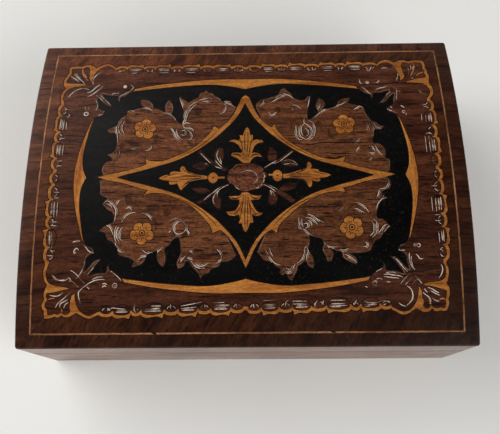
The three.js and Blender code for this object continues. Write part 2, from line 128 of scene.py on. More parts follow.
# Faces of a grid of rows and columns, closed round its columns and capped at both ends.
def tubeFaces(rows, columns, capped=True):
    r, c = np.meshgrid(np.arange(rows - 1), np.arange(columns), indexing="ij")
    here, beside = r * columns + c, r * columns + (c + 1) % columns
    quads = np.stack([here, beside, beside + columns, here + columns], -1).reshape(-1, 4).tolist()
    if capped:
        quads.append(list(range(columns - 1, -1, -1)))
        quads.append(list(range((rows - 1) * columns, rows * columns)))
    return quads


# The signs of X and Y in each quarter of the lid
quarters = {"back_left": (-1, 1), "back_right": (1, 1), "front_left": (-1, -1), "front_right": (1, -1)}


# Outlines: points with smooth curves between them, and a star after a sharp corner.
def parsePoints(text):
    tokens = text.split()
    points = np.array([[float(v) for v in token.rstrip("*").split(",")] for token in tokens])
    return points, np.array([token.endswith("*") for token in tokens])


# A cubic through the points: its slope at each is the mean of the two chords, the shorter one
# weighing more, and a sharp corner has a slope of its own on each side.
def smoothLine(points, sharp, closed, step=0.35):
    after = np.roll(points, -1, 0) - points
    length = np.maximum(np.hypot(*after.T), 1e-6)[:, None]
    slope = after / length
    before, lengthBefore = np.roll(slope, 1, 0), np.roll(length, 1, 0)
    tangent = (before * length + slope * lengthBefore) / (length + lengthBefore)
    ended = sharp.copy()
    if not closed:
        ended[[0, -1]] = True
    sharpNext = np.roll(ended, -1)
    leaving = np.where(ended[:, None], 1.5 * slope - 0.5 * np.roll(tangent, -1, 0), tangent)
    arriving = np.roll(tangent, -1, 0)
    arriving = np.where(sharpNext[:, None], 1.5 * slope - 0.5 * tangent, arriving)
    both = (ended & sharpNext)[:, None]
    leaving, arriving = np.where(both, slope, leaving), np.where(both, slope, arriving)
    runs = len(points) if closed else len(points) - 1
    count = np.maximum(np.ceil(length[:runs, 0] / step).astype(int), 1)
    run = np.repeat(np.arange(runs), count)
    t = (np.arange(count.sum()) - np.repeat(np.cumsum(count) - count, count)) / count[run]
    t = t[:, None]
    nextPoint = np.roll(points, -1, 0)[run]
    curve = ((2 * t ** 3 - 3 * t ** 2 + 1) * points[run] + (3 * t ** 2 - 2 * t ** 3) * nextPoint
             + (t ** 3 - 2 * t ** 2 + t) * (leaving * length)[run]
             + (t ** 3 - t ** 2) * (arriving * length)[run])
    return curve if closed else np.vstack([curve, points[-1:]])


# Moves a closed line outwards along the mean of its two edge normals.
def grown(loop, distance):
    arriving = loop - np.roll(loop, 1, 0)
    leaving = np.roll(arriving, -1, 0)
    arriving = arriving / np.maximum(np.hypot(*arriving.T), 1e-9)[:, None]
    leaving = leaving / np.maximum(np.hypot(*leaving.T), 1e-9)[:, None]
    across = np.stack([arriving[:, 1] + leaving[:, 1], -arriving[:, 0] - leaving[:, 0]], 1)
    size = np.hypot(*across.T)[:, None]
    sharpness = np.maximum(size / 2, 0.45)
    x, y = loop.T
    outward = np.sign(np.sum(x * np.roll(y, -1) - np.roll(x, -1) * y))
    return loop + outward * distance * across / np.maximum(size, 1e-9) / sharpness


# A quarter from the middle of the back to the middle of the right end, mirrored to the front and
# then to the left, which closes the loop.
def wholeLoop(text):
    points, sharp = parsePoints(text)
    for axisNumber, turned in ((1, (1, -1)), (0, (-1, 1))):
        side = points[:, axisNumber] > 1e-6
        points = np.vstack([points, (points[side] * turned)[::-1]])
        sharp = np.concatenate([sharp, sharp[side][::-1]])
    return smoothLine(points, sharp, True)


# A loop from four quarters, each given as if it were the right back one, and the tips between them.
def fourQuarters(texts, tips):
    points, sharp = [], []
    for quarter, tip in zip(("back_right", "front_right", "front_left", "back_left"),
                            ("back", "right", "front", "left")):
        places, marks = parsePoints(texts[quarter])
        if tip in ("right", "left"):
            places, marks = places[::-1], marks[::-1]
        points += [[tips[tip]], places * quarters[quarter]]
        sharp += [[True], marks]
    return smoothLine(np.vstack(points), np.concatenate(sharp).astype(bool), True)


# How many times a loop runs round each point: an edge that passes a point's height to its
# right counts one, with the sign of its direction.
def timesRound(loop, points, order):
    heights = points[order, 1]
    a, b = loop, np.roll(loop, -1, 0)
    first = np.searchsorted(heights, np.minimum(a[:, 1], b[:, 1]))
    last = np.searchsorted(heights, np.maximum(a[:, 1], b[:, 1]))
    count = last - first
    edge = np.repeat(np.arange(len(a)), count)
    place = np.arange(count.sum()) - np.repeat(np.cumsum(count) - count, count) + first[edge]
    share = (heights[place] - a[edge, 1]) / (b[edge, 1] - a[edge, 1])
    crossing = a[edge, 0] + share * (b[edge, 0] - a[edge, 0])
    sign = np.sign(b[edge, 1] - a[edge, 1]) * (crossing > points[order[place], 0])
    return np.bincount(order[place], weights=sign, minlength=len(points))


# A point is inside where the loop runs round it at least once.
def isInside(loop, points, order):
    return np.abs(timesRound(loop, points, order)) > 0.5


# Materials: shared node groups first

# A node group with a vector going in and named numbers coming out.
def newGroup(name, outputs):
    group = bpy.data.node_groups.new(name, "ShaderNodeTree")
    group.interface.new_socket("Vector", in_out="INPUT", socket_type="NodeSocketVector")
    for output in outputs:
        group.interface.new_socket(output, in_out="OUTPUT", socket_type="NodeSocketFloat")
    return group, group.nodes.new("NodeGroupInput").outputs["Vector"], group.nodes.new("NodeGroupOutput")


# A socket takes a fixed value or a link, or keeps what it has.
def feed(tree, socket, value):
    if isinstance(value, (int, float, tuple, list)):
        socket.default_value = value
    elif value is not None:
        tree.links.new(value, socket)


def mathNode(tree, operation, a, b=None):
    node = tree.nodes.new("ShaderNodeMath")
    node.operation = operation
    feed(tree, node.inputs[0], a)
    feed(tree, node.inputs[1], b)
    return node.outputs[0]


def product(tree, first, *others):
    for other in others:
        first = mathNode(tree, "MULTIPLY", first, other)
    return first


def mapRange(tree, value, fromLow, fromHigh, toLow=0.0, toHigh=1.0):
    node = tree.nodes.new("ShaderNodeMapRange")
    node.clamp = True
    for socket, given in zip(node.inputs, (value, fromLow, fromHigh, toLow, toHigh)):
        feed(tree, socket, given)
    return node.outputs[0]


def mixColour(tree, share, a, b, blend="MIX"):
    node = tree.nodes.new("ShaderNodeMix")
    node.data_type = "RGBA"
    node.blend_type = blend
    for number, value in ((0, share), (6, a), (7, b)):
        feed(tree, node.inputs[number], value)
    return node.outputs[2]


def mapping(tree, vector, scale, location=(0, 0, 0), rotation=(0, 0, 0)):
    node = tree.nodes.new("ShaderNodeMapping")
    for name, value in (("Vector", vector), ("Scale", scale), ("Location", location), ("Rotation", rotation)):
        feed(tree, node.inputs[name], value)
    return node.outputs[0]


# Noise with its own scale along each axis, in turns per metre.
def noise(tree, vector, scale, detail=3, roughness=0.55):
    node = tree.nodes.new("ShaderNodeTexNoise")
    feed(tree, node.inputs["Vector"], mapping(tree, vector, scale))
    for name, value in (("Scale", 1), ("Detail", detail), ("Roughness", roughness)):
        feed(tree, node.inputs[name], value)
    return node.outputs[0]


def separated(tree, vector):
    node = tree.nodes.new("ShaderNodeSeparateXYZ")
    feed(tree, node.inputs[0], vector)
    return node.outputs


# sRGB numbers from 0 to 255 as a scene-linear colour.
def colour(r, g, b):
    share = np.array([r, g, b]) / 255
    linear = np.where(share <= 0.04045, share / 12.92, ((share + 0.055) / 1.055) ** 2.4)
    return (*[float(v) for v in linear], 1.0)


# Wood along X, gently wavy: slow colour bands, fine fibre, long dark pores and a cloudy mottle. Each
# is a noise, with its scale, detail and roughness, and the two levels that are spread to 0 and 1.
def makeGrainGroup():
    group, place, out = newGroup("woodGrain", ("Bands", "Fibre", "Pores", "Mottle"))
    shift = group.nodes.new("ShaderNodeCombineXYZ")
    feed(group, shift.inputs[1], product(group, noise(group, place, (14, 60, 60), 2), 0.006))
    bent = group.nodes.new("ShaderNodeVectorMath")
    bent.operation = "ADD"
    feed(group, bent.inputs[0], place)
    feed(group, bent.inputs[1], shift.outputs[0])
    wavy = bent.outputs[0]
    for name, vector, scale, detail, roughness, low, high in (
            ("Bands", wavy, (22, 190, 190), 4, 0.6, 0.34, 0.66),
            ("Fibre", wavy, (240, 1300, 1300), 3, 0.7, 0.3, 0.7),
            ("Pores", wavy, (70, 1000, 1000), 2, 0.5, 0.57, 0.65),
            ("Mottle", place, (420, 560, 560), 5, 0.75, 0.32, 0.68)):
        level = noise(group, vector, scale, detail, roughness)
        feed(group, out.inputs[name], mapRange(group, level, low, high))
    return group


# What age leaves on a polished surface: dull patches, specks of dust and a faint relief.
def makeAgeGroup():
    group, place, out = newGroup("agedPolish", ("Dull", "Dust", "Relief"))
    dull = noise(group, place, (45, 45, 45), 5, 0.6)
    specks = product(group, noise(group, place, (700, 700, 700), 3, 0.65),
                     noise(group, place, (1500, 1500, 1500), 1, 0.5))
    feed(group, out.inputs["Dull"], mapRange(group, dull, 0.35, 0.65))
    feed(group, out.inputs["Dust"], mapRange(group, specks, 0.3, 0.42))
    feed(group, out.inputs["Relief"], noise(group, place, (160, 260, 200), 4, 0.55))
    return group


groups = {"grain": makeGrainGroup(), "age": makeAgeGroup()}


# A new material, with its node tree, its shader and the coordinates of its piece.
def newMaterial(name):
    material = bpy.data.materials.new(name)
    material.use_nodes = True
    tree = material.node_tree
    shader = tree.nodes["Principled BSDF"]
    coordinates = tree.nodes.new("ShaderNodeTexCoord").outputs["Object"]
    return material, tree, shader, coordinates


def placeGroup(tree, key, vector):
    node = tree.nodes.new("ShaderNodeGroup")
    node.node_tree = groups[key]
    feed(tree, node.inputs["Vector"], vector)
    return node.outputs


# Colour, roughness and shine of a surface, and a bump whose depth is in millimetres.
def dress(tree, shader, tint, roughness, specular=0.5, height=None, depth=0.05):
    feed(tree, shader.inputs["Base Color"], tint)
    feed(tree, shader.inputs["Roughness"], roughness)
    shader.inputs["Specular IOR Level"].default_value = specular
    if height is not None:
        bump = tree.nodes.new("ShaderNodeBump")
        bump.inputs["Strength"].default_value = 1.0
        bump.inputs["Distance"].default_value = depth * mm
        feed(tree, bump.inputs["Height"], height)
        feed(tree, shader.inputs["Normal"], bump.outputs[0])


# Woods. Light and shade are painted into the colour: a list of four shares tells how much of it is left
# at the left, right, front and back edges, brighter towards the back left where the window's light and
# sheen fall and darker towards the front right. Fine is how many times the grain is finer than usual,
# and mottle how strongly the light changes over it.
usualWood = dict(poreShare=0.6, rough=(0.32, 0.44), dust=0.012, paintedLight=(1, 1, 1, 1), fine=1.0, mottle=0.3,
                 specular=0.14)
woodLooks = {
    "walnut": dict(dark=(38, 15, 7), mid=(64, 31, 17), light=(92, 50, 28), pore=(12, 5, 3), rough=(0.3, 0.42),
                   paintedLight=(1.2, 0.47, 0.5, 1.72)),
    "banding": dict(dark=(34, 14, 7), mid=(60, 30, 18), light=(88, 50, 32), pore=(10, 4, 3),
                    paintedLight=(1.16, 0.5, 0.5, 1.78)),
    # The walls and rails outside: a paler, greyer walnut, partly a faded finish and partly a painted
    # reflection of the pale table.
    "outside": dict(dark=(60, 36, 25), mid=(92, 60, 45), light=(120, 83, 62), pore=(26, 14, 10),
                    rough=(0.26, 0.38), dust=0.06, fine=1.2, mottle=0.15, specular=0.5),
    "frieze": dict(dark=(44, 17, 9), mid=(70, 35, 22), light=(98, 54, 34), pore=(14, 6, 3), poreShare=0.9,
                   paintedLight=(1.0, 0.76, 0.62, 1.4), fine=1.9, mottle=0.42),
    "figured": dict(dark=(68, 35, 20), mid=(94, 54, 32), light=(120, 73, 45), pore=(12, 5, 3), poreShare=0.95,
                    paintedLight=(1.14, 0.96, 0.88, 1.12), fine=2.2, mottle=0.55),
    "rose": dict(dark=(48, 21, 12), mid=(84, 46, 30), light=(120, 70, 48), pore=(20, 8, 6), poreShare=0.8,
                 fine=2.6, mottle=0.6),
    "inside": dict(dark=(84, 54, 36), mid=(112, 76, 52), light=(136, 98, 70), pore=(52, 32, 22),
                   rough=(0.6, 0.75), dust=0.03, fine=1.2, mottle=0.2),
    "boxwood": dict(dark=(140, 78, 32), mid=(174, 106, 46), light=(200, 132, 62), pore=(84, 42, 16),
                    poreShare=0.25, rough=(0.3, 0.4), paintedLight=(1.03, 0.88, 0.88, 1.0), fine=2.4, mottle=0.24),
    "stringing": dict(dark=(104, 62, 38), mid=(148, 98, 64), light=(176, 126, 88), pore=(66, 38, 24),
                      rough=(0.32, 0.42), paintedLight=(1.05, 0.8, 0.85, 1.1), fine=2.4, mottle=0.45),
    "ebonised": dict(dark=(5, 5, 5), mid=(9, 8, 8), light=(18, 16, 16), pore=(2, 2, 2), poreShare=0.4,
                     rough=(0.3, 0.42), dust=0.03, paintedLight=(1.15, 0.4, 0.3, 1.5), fine=2.0),
}
dustColour = (150, 134, 118)


# Directions of the grain on the crossbanded edges, in radians from X
crossTurns = {"front": 1.1, "back": 1.4, "left": 0.1, "right": -0.1}


# 1 nearer to the front or back edge than to the ends, which is past the mitres, and 0 elsewhere.
def mitreMask(tree, coordinates):
    across, away = (mathNode(tree, "SUBTRACT", float(half) * mm, mathNode(tree, "ABSOLUTE", place))
                    for half, place in zip(boxHalf, separated(tree, coordinates)))
    return mathNode(tree, "GREATER_THAN", across, away)


# A wood of the table above, with its own stretch of grain, and its direction in radians from X. A
# crossbanded wood has another direction past the mitres. Shade is what is left of the colour: what heat
# has left in scorched wood, on some pieces painted shade, and on others a duller tone of their own.
def woodMaterial(name, look, offset=(0, 0, 0), turn=0.0, crossed=None, shade=1.0):
    k = {**usualWood, **woodLooks[look]}
    dark, mid, light, pore = (colour(*k[tint]) for tint in ("dark", "mid", "light", "pore"))
    material, tree, shader, coordinates = newMaterial(name)
    size, shift = (k["fine"],) * 3, [v * 0.01 for v in offset]
    vector = mapping(tree, coordinates, size, shift, (0, 0, -turn))
    if crossed is not None:
        other = mapping(tree, coordinates, size, [v + 0.3 for v in shift], (0, 0, -crossed))
        both = tree.nodes.new("ShaderNodeMix")
        both.data_type = "VECTOR"
        for number, value in ((0, mitreMask(tree, coordinates)), (4, vector), (5, other)):
            feed(tree, both.inputs[number], value)
        vector = both.outputs[1]
    grain, age = placeGroup(tree, "grain", vector), placeGroup(tree, "age", coordinates)
    streaks = mapRange(tree, grain["Fibre"], 0, 1, 0.62 * shade, 1.36 * shade)
    cloud = mapRange(tree, grain["Mottle"], 0, 1, 1 - k["mottle"], 1 + k["mottle"])
    # Painted light and shade: the colour grows brighter towards the back left and darker towards the front
    # right.
    left, right, front, rear = k["paintedLight"]
    place, (halfX, halfY) = separated(tree, coordinates), (boxHalf * mm).tolist()
    across = mapRange(tree, place[0], -halfX, halfX, left, right)
    away = mapRange(tree, place[1], -halfY, halfY, front, rear)
    tint = mixColour(tree, 0.2, mixColour(tree, grain["Bands"], dark, light), mid)
    tint = mixColour(tree, 1.0, tint, product(tree, across, away, streaks, cloud), "MULTIPLY")
    pores = product(tree, grain["Pores"], k["poreShare"])
    tint = mixColour(tree, pores, tint, pore)
    tint = mixColour(tree, product(tree, age["Dust"], k["dust"]), tint, colour(*dustColour))
    height = mathNode(tree, "SUBTRACT", age["Relief"], product(tree, pores, 0.35))
    dress(tree, shader, tint, mapRange(tree, age["Dull"], 0, 1, *k["rough"]), k["specular"], height)
    return material


# Finishes of fillings and edges. Noise of a scale, detail and roughness, spread between two levels,
# mixes the pale colour into the deep one and lifts the surface by the depth. Losses are the scale of
# a second noise that wears the pale colour away.
usualFinish = dict(scale=(300, 500, 400), detail=4, fineness=0.6, levels=(0.35, 0.7), losses=None,
                   roughness=0.6, specular=0.12, depth=0.05)
finishes = {
    "engravedDark": dict(deep=(22, 10, 5), pale=(62, 32, 15), roughness=0.5),
    "charredLine": dict(deep=(8, 3, 2), pale=(26, 11, 7)),
    "glueInCuts": dict(deep=(16, 9, 7), pale=(44, 24, 16)),
    "whiteMastic": dict(deep=(88, 58, 42), pale=(204, 188, 172), scale=(420, 420, 420), fineness=0.65,
                        levels=(0.34, 0.52), losses=(130, 130, 130), roughness=0.55, specular=0.5,
                        depth=0.08),
    "wornEdge": dict(deep=(58, 32, 20), pale=(124, 98, 80), scale=(260, 260, 260), fineness=0.7,
                     levels=(0.46, 0.66), roughness=0.5, specular=0.5, depth=0),
}


# A finish of the table above.
def finishMaterial(name):
    k = {**usualFinish, **finishes[name]}
    material, tree, shader, coordinates = newMaterial(name)
    patches = noise(tree, coordinates, k["scale"], k["detail"], k["fineness"])
    share = mapRange(tree, patches, *k["levels"])
    if k["losses"]:
        holes = noise(tree, coordinates, k["losses"], 2, 0.5)
        share = product(tree, share, mapRange(tree, holes, 0.34, 0.48))
    tint = mixColour(tree, share, colour(*k["deep"]), colour(*k["pale"]))
    dress(tree, shader, tint, k["roughness"], k["specular"], patches if k["depth"] else None, k["depth"])
    return material


# Brass, darker and duller where it is stained.
def brassMaterial():
    material, tree, shader, coordinates = newMaterial("agedBrass")
    stain = noise(tree, coordinates, (150, 150, 150), 5, 0.65)
    tint = mixColour(tree, mapRange(tree, stain, 0.35, 0.7), colour(176, 136, 70), colour(104, 74, 40))
    shader.inputs["Metallic"].default_value = 1.0
    relief = placeGroup(tree, "age", coordinates)["Relief"]
    dress(tree, shader, tint, mapRange(tree, stain, 0.3, 0.7, 0.28, 0.5), 0.5, relief)
    return material


mastic, worn, darkLine, charred, glue = (finishMaterial(name) for name in (
    "whiteMastic", "wornEdge", "engravedDark", "charredLine", "glueInCuts"))
brass = brassMaterial()
insideWalnut = woodMaterial("insideWalnut", "inside", (3, 5, 2))
print("stage: materials")


# Marquetry outlines, in millimetres of the photographed lid's right back quarter
# unless a name says another quarter
lidSheet = {
    "fieldShare": np.array([70.8, 52.3]),  # where the field ends in the units of the outlines
    "kerf": 0.26,
    "cornerRadius": 0.9,
    "borderKerf": 0.32,  # the wider cut outside the border
    "borderSpread": 0.08,  # which moves the border's outer edge outwards
    "edgeRound": 0.55,
    "gridStep": 3.0,
    "insets": (0, 0.03, 0.1, 0.22, 0.38, 0.55),  # of the rows of points that round the lid's edge
    "cutDepth": 0.05,  # how far the glue lies below the polished top
}
fieldHalf = nodeBox("outer_field")[1][:2]
toLid = fieldHalf / lidSheet["fieldShare"]

# The border's runs from the middle of each side: the ends of the beads and reels, how far out the
# notches, beads, reels and the reels' horns reach, and how much the run leans outwards.
scallops = {
    "back_right": {
        "back": dict(ends=(0.8, 5.6, 11.3, 15.7, 22.2, 27.2, 33.6, 37.3, 43.9, 48.8),
                     dip=46.05, bead=46.75, reel=47.0, horn=47.7, lean=0.012),
        "right": dict(ends=(0.4, 3.0, 7.6, 14.4, 19.0, 25.2, 29.2),
                      dip=66.8, bead=67.7, reel=67.95, horn=68.45, lean=0.0),
    },
    "back_left": {
        "back": dict(ends=(0.4, 4.9, 11.8, 16.5, 23.5, 27.4, 33.6, 37.6, 44.2, 47.9),
                     dip=46.05, bead=46.8, reel=47.0, horn=47.65, lean=0.008),
        "left": dict(ends=(0.4, 3.3, 7.4, 13.9, 17.8, 24.5, 29.2),
                     dip=66.8, bead=67.75, reel=67.9, horn=68.5, lean=0.0),
    },
    "front_left": {
        "front": dict(ends=(0.8, 4.9, 11.6, 15.8, 22.4, 26.8, 34.6, 37.8, 44.0, 48.2),
                      dip=45.65, bead=46.4, reel=46.75, horn=47.25, lean=0.022),
        "left": dict(ends=(0.4, 2.7, 7.7, 13.9, 17.8, 24.4, 29.3),
                     dip=66.8, bead=67.75, reel=67.9, horn=68.5, lean=0.0),
    },
    "front_right": {
        "front": dict(ends=(0.6, 5.0, 10.9, 15.2, 21.5, 26.3, 34.4, 37.6, 44.1, 48.0),
                      dip=45.95, bead=46.75, reel=46.95, horn=47.45, lean=-0.025),
        "right": dict(ends=(0.4, 2.0, 7.0, 14.1, 18.5, 24.7, 29.5),
                      dip=66.8, bead=67.7, reel=67.95, horn=68.4, lean=0.0),
    },
}
beadShape = ((0.45, 0.9), (0.78, 0.64), (0.95, 0.3))  # shares of a bead's reach and height, off its middle
borderWidth = 1.15
neckHalf = 0.5  # half the flat stretch of the inner edge between two cells
middleBead = 2.0  # half the length of the bead in the middle of each end

cornerOuter = {
    "back_right": """
    48.8,46.4 50,47.4 51.2,48.1 52.4,48.4 53.6,48.2 54.8,47.6 55.6,47* 56.7,47.7 58.2,48.2 59.7,48
    60.9,47.4* 61.8,47.8 63.6,48 65.5,47.9 66.4,47.6 66.7,46.7 66.8,45.2 66.8,43.9* 67.3,42.9 67.1,41.8*
    67.6,40.6 67.5,39.2 67.3,37.9 67.3,36.7* 68,35.2 68.3,33.6 68,32.1 67.3,30.9 66.6,30
    """,
    "back_left": """
    48.3,46.2 49.4,47.1 50.5,47.9 51.8,48.25 53.3,47.9 54.8,47 55.8,46.3* 56.5,46.8 57.6,47.6 58.9,47.9
    60.3,47.6 61.3,46.9* 62.4,47.2 63.6,47.2 64.8,47 65.8,46.6 66.1,45.9 65.9,45 65.7,43.9* 66.8,41.8
    67.2,40.3 67.2,38.8 66.8,37.6 66,36.7* 66.7,35.6 67.3,33.9 67.4,32.4 67.1,30.6
    """,
    "front_left": """
    48.8,46.7 50,47.3 51.8,47.8 53.3,47.4 54.8,46.6 55.9,45.9* 57,46.6 58.5,47.3 59.7,47.3 60.9,46.7*
    62.1,47.4 63.1,47.1* 63.9,47.4 65.5,47.7 66.5,47.6 66.7,46.7 66.7,45.2* 67.5,44 67.4,42.9 66.6,41.5*
    67,40.3 66.8,39.1 66.4,37.9 66,36.7* 66.7,35.8 67.3,33.9 67.4,32.1 67,30.6
    """,
    "front_right": """
    47.8,45.6 49.1,46.2 50.3,47 51.8,47.3 53.3,46.8 54.5,46.1 55.6,45.3* 56.7,45.8 57.9,46.4 59.4,46.4
    60.2,46.1 60.9,45.3* 61.8,46.2 62.9,46.3 63.6,46* 64.8,46.2 65.8,45.9 66.2,44.8 66.6,43.6 66.3,42.5*
    66.8,41.2 66.9,39.7 66.7,38.5 66,37.3* 66.6,35.8 66.9,33.9 66.8,32.1 66.3,30.6
    """,
}
cornerInner = {
    "back_right": """
    48.8,45.2 50,46.2 51.5,47 53,47 54.5,46.1 55.6,44.2 56.1,42.7 56.7,40.9 56.9,39.4 56.5,38.3*
    57.9,39.1 58.7,40.4 58.5,41.8 58.2,43.9 58.2,46 59,46.9 60,46.9 60.9,46.3* 62,46.7 63.9,46.8
    65.4,46.7* 65.7,45.5 65.6,43.9* 66.1,42.8 65.9,41.6* 66.4,40.6 66,39.7* 63.6,39.4 61.8,38.9 60,38.3
    58.3,37.5* 60.6,37.3 63,37.1 65.2,36.7 66.2,35.6 66.9,34.2 66.9,32.7 66.2,31.3 65.4,30.2
    """,
    "back_left": """
    48.3,45.1 49.5,46.1 50.7,46.8 51.9,47.05 53.3,46.5 54.8,45.2 55.7,43.9 56.2,42.4 56.5,40.9
    56.6,39.2* 57.6,40.4 58.2,43 58.4,45.6 59,46.7 60.1,46.5 60.9,45.9* 62.2,46.1 63.6,46.1 64.9,45.8
    64.9,44.8 64.6,43.6* 65.8,41.3 66.1,39.9 65.9,39.2* 63.4,39 60.4,38.8 57.8,38.4* 60.4,37.6 63.2,37.1
    65,36.2 66.2,34 66.4,32.2 65.9,30.8
    """,
    "front_left": """
    48.8,45.6 50,46.2 51.8,46.8 53.3,46.3 54.5,45.5 55.6,44.2 56.1,42.7 56.5,40.9 56.4,39.5* 57.5,40.2
    58,41.6 58.3,43.9 58.1,45.6 58.8,46.2 60,46.3 60.9,45.6* 62.1,46.3 63.2,46* 64.2,46.4 65.4,46.4*
    65.5,45.2 65.6,44.6* 66.4,43.7 66.3,43 65.5,41.8* 66,40.6 65.8,39.6* 64.2,39.4 62.4,39.1 60.6,38.6
    58,38.3* 59.5,37.6 60.6,37.4 62.4,37.1 64.2,36.7 65.5,35.9 66.2,34.5 66.4,32.7 66,31.2
    """,
    "front_right": """
    47.8,44.5 49.1,45.2 50.3,45.9 51.8,46.2 53.3,45.8 54.5,44.8 55.5,43.6 56.1,42.1 56.5,40.3 56.7,38.8
    56.2,37.7* 57.4,38.8 57.9,40.3 57.9,41.8 58.4,43 58.1,44.5 58.9,45.3 59.8,45.1 60.5,44.1* 61.4,44.9
    62.4,45.2 63.6,44.9* 64.8,45.2* 65.4,43.9 65.2,42.6* 65.7,41.2 65.8,39.7* 64.2,39.2 62.4,38.6
    60.6,38.2 58.8,38 58,37.4* 60,36.9 61.8,36.7 63.9,36.4 65.4,35.5 65.9,33.9 65.8,32.1 65.2,30.6
    """,
}

jaws = """
    41.4,34.6 43.4,32.9 45.2,31.9 45.6,30.1* 46.3,31.6 46.4,32.6 49.2,33 52.2,34* 50.2,31 48,28.4*
    49.8,28.6 52.6,31.4 53.9,32.6* 53.3,30.4 53,28 50.6,26.4* 51,25 53.4,23.8
    """
friezeInner = "0,40 12,40 22,39.1 32,37.8 40.4,36.2* " + jaws + " 55,22* 57,15 58.5,8 59.2,0"
groundOuter = ("0,35.3* 5,36.5 12,37.5 22,37.1 32,36.1 40.4,35* " + jaws
               + " 54.6,21.6* 55.8,15 56.6,8 56.2,3.5 54.8,0*")
diamondTips = {"back": (0, 32.8), "right": (51.6, 0.2), "front": (0, -32), "left": (-51.4, 0.2)}
diamondOuter = {
    "back_right": """
    1.3,31.8 2.4,29.2 3.6,26 5,23.3 6.6,21.2 8.2,19.7 9.3,18.9* 9.9,19.6 10.6,20.4* 10.9,19 11.5,17.6
    12.9,15.8 15,13.6 17.5,11.6 20,10 23,8.4 26,7.1 28.8,6.2 31,6.1 33,6.4 34.8,7.4* 34.5,6 34,5* 36,4.3
    39,3.3 43,2.3 47,1.4
    """,
    "back_left": """
    1.2,31.6 2.3,29 3.5,26.1 5,23.2 6.6,21.1 8,19.6 9.3,18.4* 10,19 11,19.8* 11.6,18.6 12.3,17.2
    13.8,15.3 15.8,13.2 18.2,11.1 20.5,9.6 23.5,8.1 26.5,6.9 29,6.1 31,6 33,6.2 34.8,7.3* 34.7,6
    34.3,4.9* 37,3.8 40,2.9 44,1.9 48,1.1
    """,
    "front_left": """
    1,29.8 2.2,27.2 3.4,25 5,22.6 6.8,20.5 8.4,19.1* 9.6,19.5 11.2,20.3* 11.4,18.9 12.2,17.3 13.4,15.8
    15,14 17.3,11.6 19.7,9.8 22.5,8.3 25,7.1 28.5,6.1 31,5.9 33,6.1 34.9,7.2* 34.3,6 33.5,4.9* 36,4.2
    39,3.2 43,2 47,1.2
    """,
    "front_right": """
    1.1,29.9 2.3,27.1 3.4,25 5,22.4 7,20.2 9,19.1* 9.8,19.8 10.7,20.4* 10.9,18.9 12,16.9 13.3,15.6 15,14
    17.7,11.6 20,10 22.5,8.4 25,7.3 28.5,6.2 30.5,6 32.4,6 34.1,6.4* 33.8,5.3 33.3,4.6* 36,4 39,3 43,2
    47,1.2
    """,
}
diamondInner = "0,29* 3.3,22.6 6.6,18.7 10,15.2 12.5,13.1 15,11.2 20,8 25,5.65 30,4.1 35,2.6 40,1.3 44,0*"
underDiamond = " 48,0.3* 34,3.2 18,9.8 7.4,18.4*"
